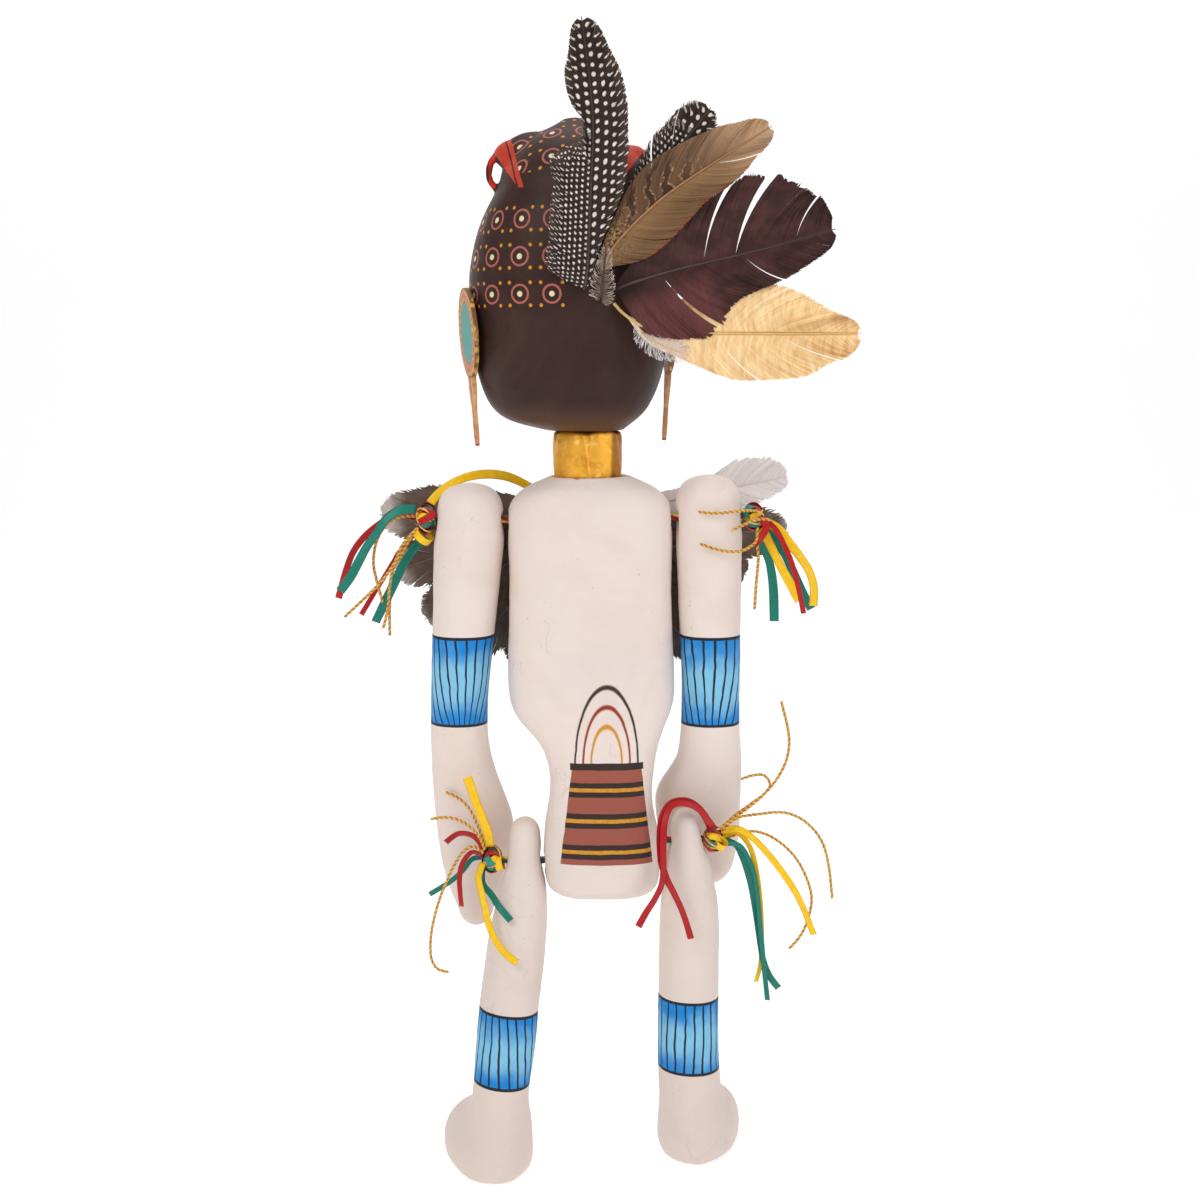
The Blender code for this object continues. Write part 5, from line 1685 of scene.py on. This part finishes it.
def outside_knot(tie, points):
    """The stretch of a route that lies clear of its knot."""
    for number, point in enumerate(points):
        share = sum(((p - k) / r) ** 2 for p, k, r in zip(point, tie.knot, tie.radii))
        if share > KNOT_CLEAR:
            return points[number:]
    return points[-2:]


def tail_route(tie, tail):
    """The line that a free ribbon or cord follows, clear of its knot."""
    smooth = through([Vector(point) for point in tail.points], 4)
    clear = [Vector(point) for point in outside_knot(tie, smooth)]
    coarse = Route(clear).even(CORD_COARSE if tail.width == CORD else RIBBON_COARSE)
    return Route([place(*point) for point in through(coarse, 5)])


# Points across a ribbon, how fast it sways, in radians a metre, how deeply it cups about its
# middle, and the length that one unit of its map covers
ACROSS = 5
SWAY_RATE = 55
CUP = 0.06
CUP_MIDDLE = 0.08
STRIP_SPAN = 100


def strip(name, points, width, surface, wave=0.0, phase=0.0, closed=False, facing=None):
    """A thin satin strip along points, slightly cupped, that sways from side to side."""
    count = len(points)
    obj = primitive(bpy.ops.mesh.primitive_grid_add, name, x_subdivisions=ACROSS - 1,
                    y_subdivisions=count - 1, size=1)
    far = 0.0
    reach = [0.0]
    for start, end in zip(points, points[1:]):
        far += (end - start).length
        reach.append(far)
    uvs = []
    for number, point in enumerate(points):
        before = points[number - 1 if number or closed else 0]
        after = points[(number + 1) % count if closed else min(number + 1, count - 1)]
        along = (after - before).normalized()
        out = facing(point) if facing else Vector((0, -1, 0))
        across = along.cross(out).normalized()
        share = number / (count - 1)
        turn = wave * math.sin(phase + far * SWAY_RATE * share)
        across = Matrix.Rotation(turn, 3, along) @ across
        normal = across.cross(along)
        for step in range(ACROSS):
            side = step / (ACROSS - 1) - 0.5
            cup = (side * side - CUP_MIDDLE) * width * CUP
            aside = (across * side * width + normal * cup) * SCALE
            obj.data.vertices[number * ACROSS + step].co = point + aside
            uvs.append((reach[number] / SCALE / STRIP_SPAN, step / (ACROSS - 1)))
    layer = obj.data.uv_layers[0]
    layer.name = "strip"
    for loop in obj.data.loops:
        layer.data[loop.index].uv = uvs[loop.vertex_index]
    cloth = obj.modifiers.new("thickness", "SOLIDIFY")
    cloth.thickness = sizes().ribbon_thickness
    cloth.offset = 0
    apply_modifiers(obj)
    coat(obj, surface)
    return obj


def strand(name, route, radius, offset, turns_from, pitch):
    """One strand of a twisted cord, winding round the route."""
    steps = max(8, round(route.length / (CORD_STEP * SCALE)))
    points, radii = [], []
    for number in range(steps + 1):
        share = number / steps
        along = route.along(share)
        side = along.cross(Vector((0.2, 1, 0.1))).normalized()
        up = along.cross(side)
        angle = turns_from + math.tau * share * route.length / pitch
        points.append(route.at(share) + (side * math.cos(angle) + up * math.sin(angle)) * offset)
        radii.append(radius)
    return rod(name, points, radii)


# A strand's radius and its distance from the cord's middle, as shares of the cord's radius
STRAND_RADIUS = 0.56
STRAND_OFFSET = 0.46


def cord_mesh(name, route, looks):
    """A bright and a dark strand twisted together."""
    half = sizes().cord_diameter / 2
    strands = []
    for number, kind in enumerate(("gold", "brown")):
        part = strand(f"{name}_strand_{number}", route, half * STRAND_RADIUS,
                      half * STRAND_OFFSET, number * math.pi, sizes().strand_pitch)
        coat(part, looks[kind])
        strands.append(part)
    return joined(strands, name)


# How far a free ribbon sways, and how much further on in its sway each one starts, in radians
TAIL_SWAY = 0.5
TAIL_PHASE = 1.7


class FIGURE_OT_cords(bpy.types.Operator):
    """Build the free ribbons and gold cords that hang from the knots"""

    bl_idname = "figure.cords"
    bl_label = "Ribbons and cords"

    def execute(self, context):
        looks = ribbon_looks()
        for tie_name, tie in TIES.items():
            for number, tail in enumerate(tie.tails):
                node = f"{tie_name.replace('tie_', '')}_{tail.name}"
                route = tail_route(tie, tail)
                if tail.width == CORD:
                    path, slot = route.even(PATH_STEP * SCALE), "gold_cord"
                    obj = cord_mesh(node + "_cord", route, looks)
                else:
                    path, slot = route.even(RIBBON_STEP * SCALE), tail.color + "_ribbon"
                    obj = strip(node + "_ribbon", path, tail.width, looks[tail.color],
                                wave=TAIL_SWAY, phase=number * TAIL_PHASE)
                dress(obj, slot, node)
                Route(path).length
                tail.width * SCALE
        return {"FINISHED"}


def ribbon_looks():
    """The satin and thread materials, made on first use."""
    if not LOOKS:
        for name in ("green", "red", "yellow"):
            LOOKS[name] = satin(name + "_satin", getattr(colors(), name))
        LOOKS["teal"] = satin("teal_satin", paint(35, 135, 125))
        LOOKS["gold"] = metallic_thread("gold_thread", paint(220, 170, 80), colors().gold)
        LOOKS["brown"] = metallic_thread("brown_thread", paint(150, 100, 40), paint(206, 150, 66))
    return LOOKS


LOOKS = {}

# Loops on a knot: colour, middle, half sizes, turns; and its short ends: colour, width, points
KNOT_LOOPS = {
    "tie_shoulder_left": [("yellow", (-106, -3, 394), (6.4, 6, 5.6), (-1.1, 0.7))],
    "tie_shoulder_right": [("green", (90, -6, 408), (3.4, 3, 4), (0.3, 0.6))],
    "tie_hip_left": [("yellow", (-62, -6, 191), (4, 4, 4), (-1.3, 1.3))],
    "tie_hip_right": [("yellow", (74, -6, 204), (4, 4, 4), (-1.1, 0.5))],
}
KNOT_ENDS = {
    "tie_shoulder_left": [("red", 4.4, [(-98, -8, 408), (-103, -10, 405), (-108, -9, 402)])],
    "tie_shoulder_right": [
        ("red", 4.2, [(95, -10, 406), (99, -11, 400), (97, -11, 395), (92, -11, 389)]),
        ("gold", CORD, [(101, -10, 404), (95, -12, 404.5), (87, -17, 402.5), (78, -22, 399)])],
    "tie_hip_left": [("teal", 4.2, [(-70, -9, 196), (-67, -10, 192), (-64, -9, 190)])],
}


# Wraps round a knot: their colours in turn, how far each plane may turn and tilt by chance and
# how far the ribbon sways, in radians, and how much further out each lies than the last
WRAP_ORDER = ["green", "red", "yellow", "green", "red", "teal", "yellow"]
WRAP_WIDTH = 4.4
WRAP_TURN = 0.2
WRAP_TILT = 0.6
WRAP_SWAY = 0.25
WRAP_GROWTH = 0.05
LOOP_WIDTH = 4.8
END_SWAY = 0.4
# Gold threads over the wraps: how many, their tilt by chance, how far out they lie, their radius
KNOT_THREADS = 2
THREAD_TILT = 0.7
THREAD_GROWTH = 1.16
THREAD_RADIUS = 0.6
# The core's share of the knot's size, the points round a ring, and where the chances start
CORE_SHARE = 0.93
RING_STEPS = 28
KNOT_SEED = 90
# The bundle inside a limb: its strands' radius, their distance from its middle, and one turn
BUNDLE_KINDS = ("green", "red", "gold")
BUNDLE_RADIUS = 1.25
BUNDLE_OFFSET = 1.2
BUNDLE_PITCH = 26


def ring(tie, turn, tilt, grow):
    """Points once round a knot, in a plane turned about the threading axis and tilted."""
    middle = Vector(tie.knot)
    plane = Matrix.Rotation(turn, 3, "X") @ Matrix.Rotation(tilt, 3, "Z")
    points = []
    for step in range(RING_STEPS + 1):
        angle = math.tau * step / RING_STEPS
        way = plane @ Vector((math.cos(angle), 0, math.sin(angle)))
        size = Vector(tie.radii)
        reach = 1 / math.sqrt(sum((w / s) ** 2 for w, s in zip(way, size)))
        points.append(place(*(middle + way * reach * grow)))
    return points


def wraps(node, tie, looks, chance):
    """Ribbon turns and gold threads round a knot."""
    centre = place(*tie.knot)
    parts = []
    count = sizes().knot_wraps
    for number in range(count):
        turn = math.pi * number / count + chance.uniform(-WRAP_TURN, WRAP_TURN)
        points = ring(tie, turn, chance.uniform(-WRAP_TILT, WRAP_TILT),
                      1.0 + WRAP_GROWTH * number)
        kind = WRAP_ORDER[number % len(WRAP_ORDER)]
        parts.append(strip(f"{node}_wrap_{number}", points, WRAP_WIDTH, looks[kind],
                           wave=WRAP_SWAY, phase=number, closed=True,
                           facing=lambda point: (point - centre).normalized()))
    for number in range(KNOT_THREADS):
        points = ring(tie, chance.uniform(0, math.pi), chance.uniform(-THREAD_TILT, THREAD_TILT),
                      THREAD_GROWTH)
        thread = rod(f"{node}_cord_{number}", points, [THREAD_RADIUS * SCALE] * len(points))
        coat(thread, looks["gold"])
        parts.append(thread)
    return parts


def loop_strip(name, tie, loop, looks):
    """A small closed loop of ribbon that stands off a knot."""
    kind, middle, radii, turns = loop
    eye = place(*middle)
    points = ring(tie._replace(knot=middle, radii=radii), *turns, 1)
    return strip(name, points, LOOP_WIDTH, looks[kind], closed=True,
                 facing=lambda point: (point - eye).normalized())


def short_end(name, end, looks):
    """A short end of ribbon or cord that lies across a knot."""
    kind, width, points = end
    route = Route([place(*point) for point in through(points, 5)])
    if width == CORD:
        return cord_mesh(name, route, looks)
    return strip(name, route.even(RIBBON_STEP * SCALE), width, looks[kind], wave=END_SWAY)


def knot_core(node, tie, looks):
    """The wound middle of a knot, under its wraps."""
    core = primitive(bpy.ops.mesh.primitive_uv_sphere_add, node + "_core", segments=24,
                     ring_count=16, radius=1)
    core.scale = Vector(tie.radii) * CORE_SHARE * SCALE
    core.location = place(*tie.knot)
    apply_place(core)
    coat(core, looks["red"])
    return core


def bundle(node, tie, looks):
    """The ribbons and cords that run from the knot through the limb into the torso."""
    start = place(*tie.knot)
    far_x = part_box(node)[1].x if tie.side > 0 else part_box(node)[0].x
    route = Route([start, Vector((far_x, start.y, start.z))])
    strands = []
    for number, kind in enumerate(BUNDLE_KINDS):
        part = strand(f"{node}_bundle_{kind}", route, BUNDLE_RADIUS * SCALE,
                      BUNDLE_OFFSET * SCALE, number * math.tau / len(BUNDLE_KINDS),
                      BUNDLE_PITCH * SCALE)
        coat(part, looks[kind])
        strands.append(part)
    return joined(strands, node + "_bundle")


class FIGURE_OT_knots(bpy.types.Operator):
    """Build the knots of ribbon and cord at the shoulders and hips"""

    bl_idname = "figure.knots"
    bl_label = "Knots"

    def execute(self, context):
        looks = ribbon_looks()
        for seed, (node, tie) in enumerate(TIES.items()):
            parts = wraps(node, tie, looks, random.Random(KNOT_SEED + seed))
            for number, loop in enumerate(KNOT_LOOPS[node]):
                parts.append(loop_strip(f"{node}_loop_{number}", tie, loop, looks))
            for number, end in enumerate(KNOT_ENDS.get(node, [])):
                parts.append(short_end(f"{node}_end_{number}", end, looks))
            parts += [knot_core(node, tie, looks), bundle(node, tie, looks)]
            dress(joined(parts, node + "_knot"), "ribbon_knot", node)
        return {"FINISHED"}


# Stage

# Every place and size on the stage is in metres
Light = namedtuple("Light", "name place size power color")
LIGHTS = [
    Light("key", (-0.9, -1.5, 1.6), 1.3, 17, (1, 0.99, 0.97)),
    Light("fill", (1.4, -1.2, 1.0), 1.4, 9, (0.97, 0.985, 1)),
    Light("top", (0, 0.2, 1.9), 1.4, 10, (1, 1, 1)),
]
LIGHTS_AIM = (0, 0, 0.33)
WORLD_LIGHT = 0.36
# The sweep's side, how far it comes forward, and where and how it curves up
SWEEP_SIDE = 9
SWEEP_FRONT = 4
SWEEP_CURVE = 1.2
SWEEP_STEPS = 60
SWEEP_GLOW = 0.37


def white_surface():
    """Matt pale paint for the sweep, faintly uneven, with a glow that keeps it white."""
    made, graph, shader = new_surface("white_sweep", roughness=0.8, specular_ior_level=0.1,
                                      emission_color=(1, 1, 1, 1), emission_strength=SWEEP_GLOW)
    spot = graph.object_place()[3]
    cloud = 0.985 + graph.noise(spot, 3, 3) * 0.03
    graph.feed(shader.inputs["Base Color"], graph.shade(tuple(colors().floor), cloud))
    return made


def white_sweep():
    """A floor that curves up into a backdrop behind the figure."""
    sweep = primitive(bpy.ops.mesh.primitive_grid_add, "white_sweep", x_subdivisions=1,
                      y_subdivisions=SWEEP_STEPS, size=1)
    for vertex in sweep.data.vertices:
        far = (vertex.co.y + 0.5) * SWEEP_SIDE - SWEEP_FRONT
        turn = min(max(far - SWEEP_CURVE, 0) / SWEEP_CURVE, math.pi / 2)
        rise = max(far - SWEEP_CURVE - SWEEP_CURVE * math.pi / 2, 0)
        vertex.co = (vertex.co.x * SWEEP_SIDE,
                     min(far, SWEEP_CURVE) + SWEEP_CURVE * math.sin(turn),
                     SWEEP_CURVE * (1 - math.cos(turn)) + rise)
    bpy.ops.object.shade_smooth()
    coat(sweep, white_surface())
    return sweep


def add_camera(scene):
    """The photograph's camera."""
    lens = bpy.data.cameras.new("camera")
    lens.lens = CAMERA_LENS
    lens.sensor_width = SENSOR
    lens.sensor_fit = "HORIZONTAL"
    lens.clip_start = CAMERA_NEAR
    camera = bpy.data.objects.new("camera", lens)
    scene.collection.objects.link(camera)
    camera.location = ORIGIN + Vector(CAMERA_PLACE)
    camera.rotation_euler = (math.radians(90 - CAMERA_TILT), 0, 0)
    scene.camera = camera


def add_light(scene, light):
    """A soft round light that is turned to the figure."""
    data = bpy.data.lights.new(light.name, "AREA")
    data.shape = "DISK"
    data.size = light.size
    data.energy = light.power
    data.color = light.color
    lamp = bpy.data.objects.new(light.name, data)
    scene.collection.objects.link(lamp)
    lamp.location = light.place
    aim = Vector(LIGHTS_AIM) - Vector(light.place)
    lamp.rotation_euler = aim.to_track_quat("-Z", "Y").to_euler()


class FIGURE_OT_stage(bpy.types.Operator):
    """Set up the camera, the white sweep and the soft lights"""

    bl_idname = "figure.stage"
    bl_label = "Stage"

    def execute(self, context):
        scene = context.scene
        add_camera(scene)
        sweep = white_sweep()
        for light in LIGHTS:
            add_light(scene, light)
        world = bpy.data.worlds.new("studio")
        world.use_nodes = True
        background = world.node_tree.nodes["Background"]
        background.inputs["Color"].default_value = (1, 1, 1, 1)
        background.inputs["Strength"].default_value = WORLD_LIGHT
        scene.world = world
        scene.view_settings.view_transform = "Standard"
        return {"FINISHED"}


class FIGURE_PT_panel(bpy.types.Panel):
    """The figure's operators and settings"""

    bl_idname = "FIGURE_PT_panel"
    bl_label = "Papier-mache figure"
    bl_space_type = "VIEW_3D"
    bl_region_type = "UI"
    bl_category = "Figure"

    def draw(self, context):
        for operator in OPERATORS:
            self.layout.operator(operator.bl_idname)
        for settings in (context.scene.figure_sizes, context.scene.figure_colors):
            box = self.layout.box()
            for name in settings.__annotations__:
                box.prop(settings, name)


# Making order: the camera and the cords come first
OPERATORS = (FIGURE_OT_stage, FIGURE_OT_cords, FIGURE_OT_knots, FIGURE_OT_castings, FIGURE_OT_head,
             FIGURE_OT_neck, FIGURE_OT_ears, FIGURE_OT_plumes, FIGURE_OT_collar)


def register():
    """Make the classes and the scene's settings known."""
    for group in (FigureColors, FigureSizes):
        bpy.utils.register_class(group)
    bpy.types.Scene.figure_colors = PointerProperty(type=FigureColors)
    bpy.types.Scene.figure_sizes = PointerProperty(type=FigureSizes)
    for kind in (*OPERATORS, FIGURE_PT_panel):
        bpy.utils.register_class(kind)


def unregister():
    """Take them out again."""
    for kind in (*OPERATORS, FIGURE_PT_panel):
        bpy.utils.unregister_class(kind)
    del bpy.types.Scene.figure_colors
    del bpy.types.Scene.figure_sizes
    for group in (FigureColors, FigureSizes):
        bpy.utils.unregister_class(group)


def main():
    """Build everything."""
    register()
    for operator in OPERATORS:
        category, name = operator.bl_idname.split(".")
        getattr(getattr(bpy.ops, category), name)()


if __name__ == "__main__":
    main()
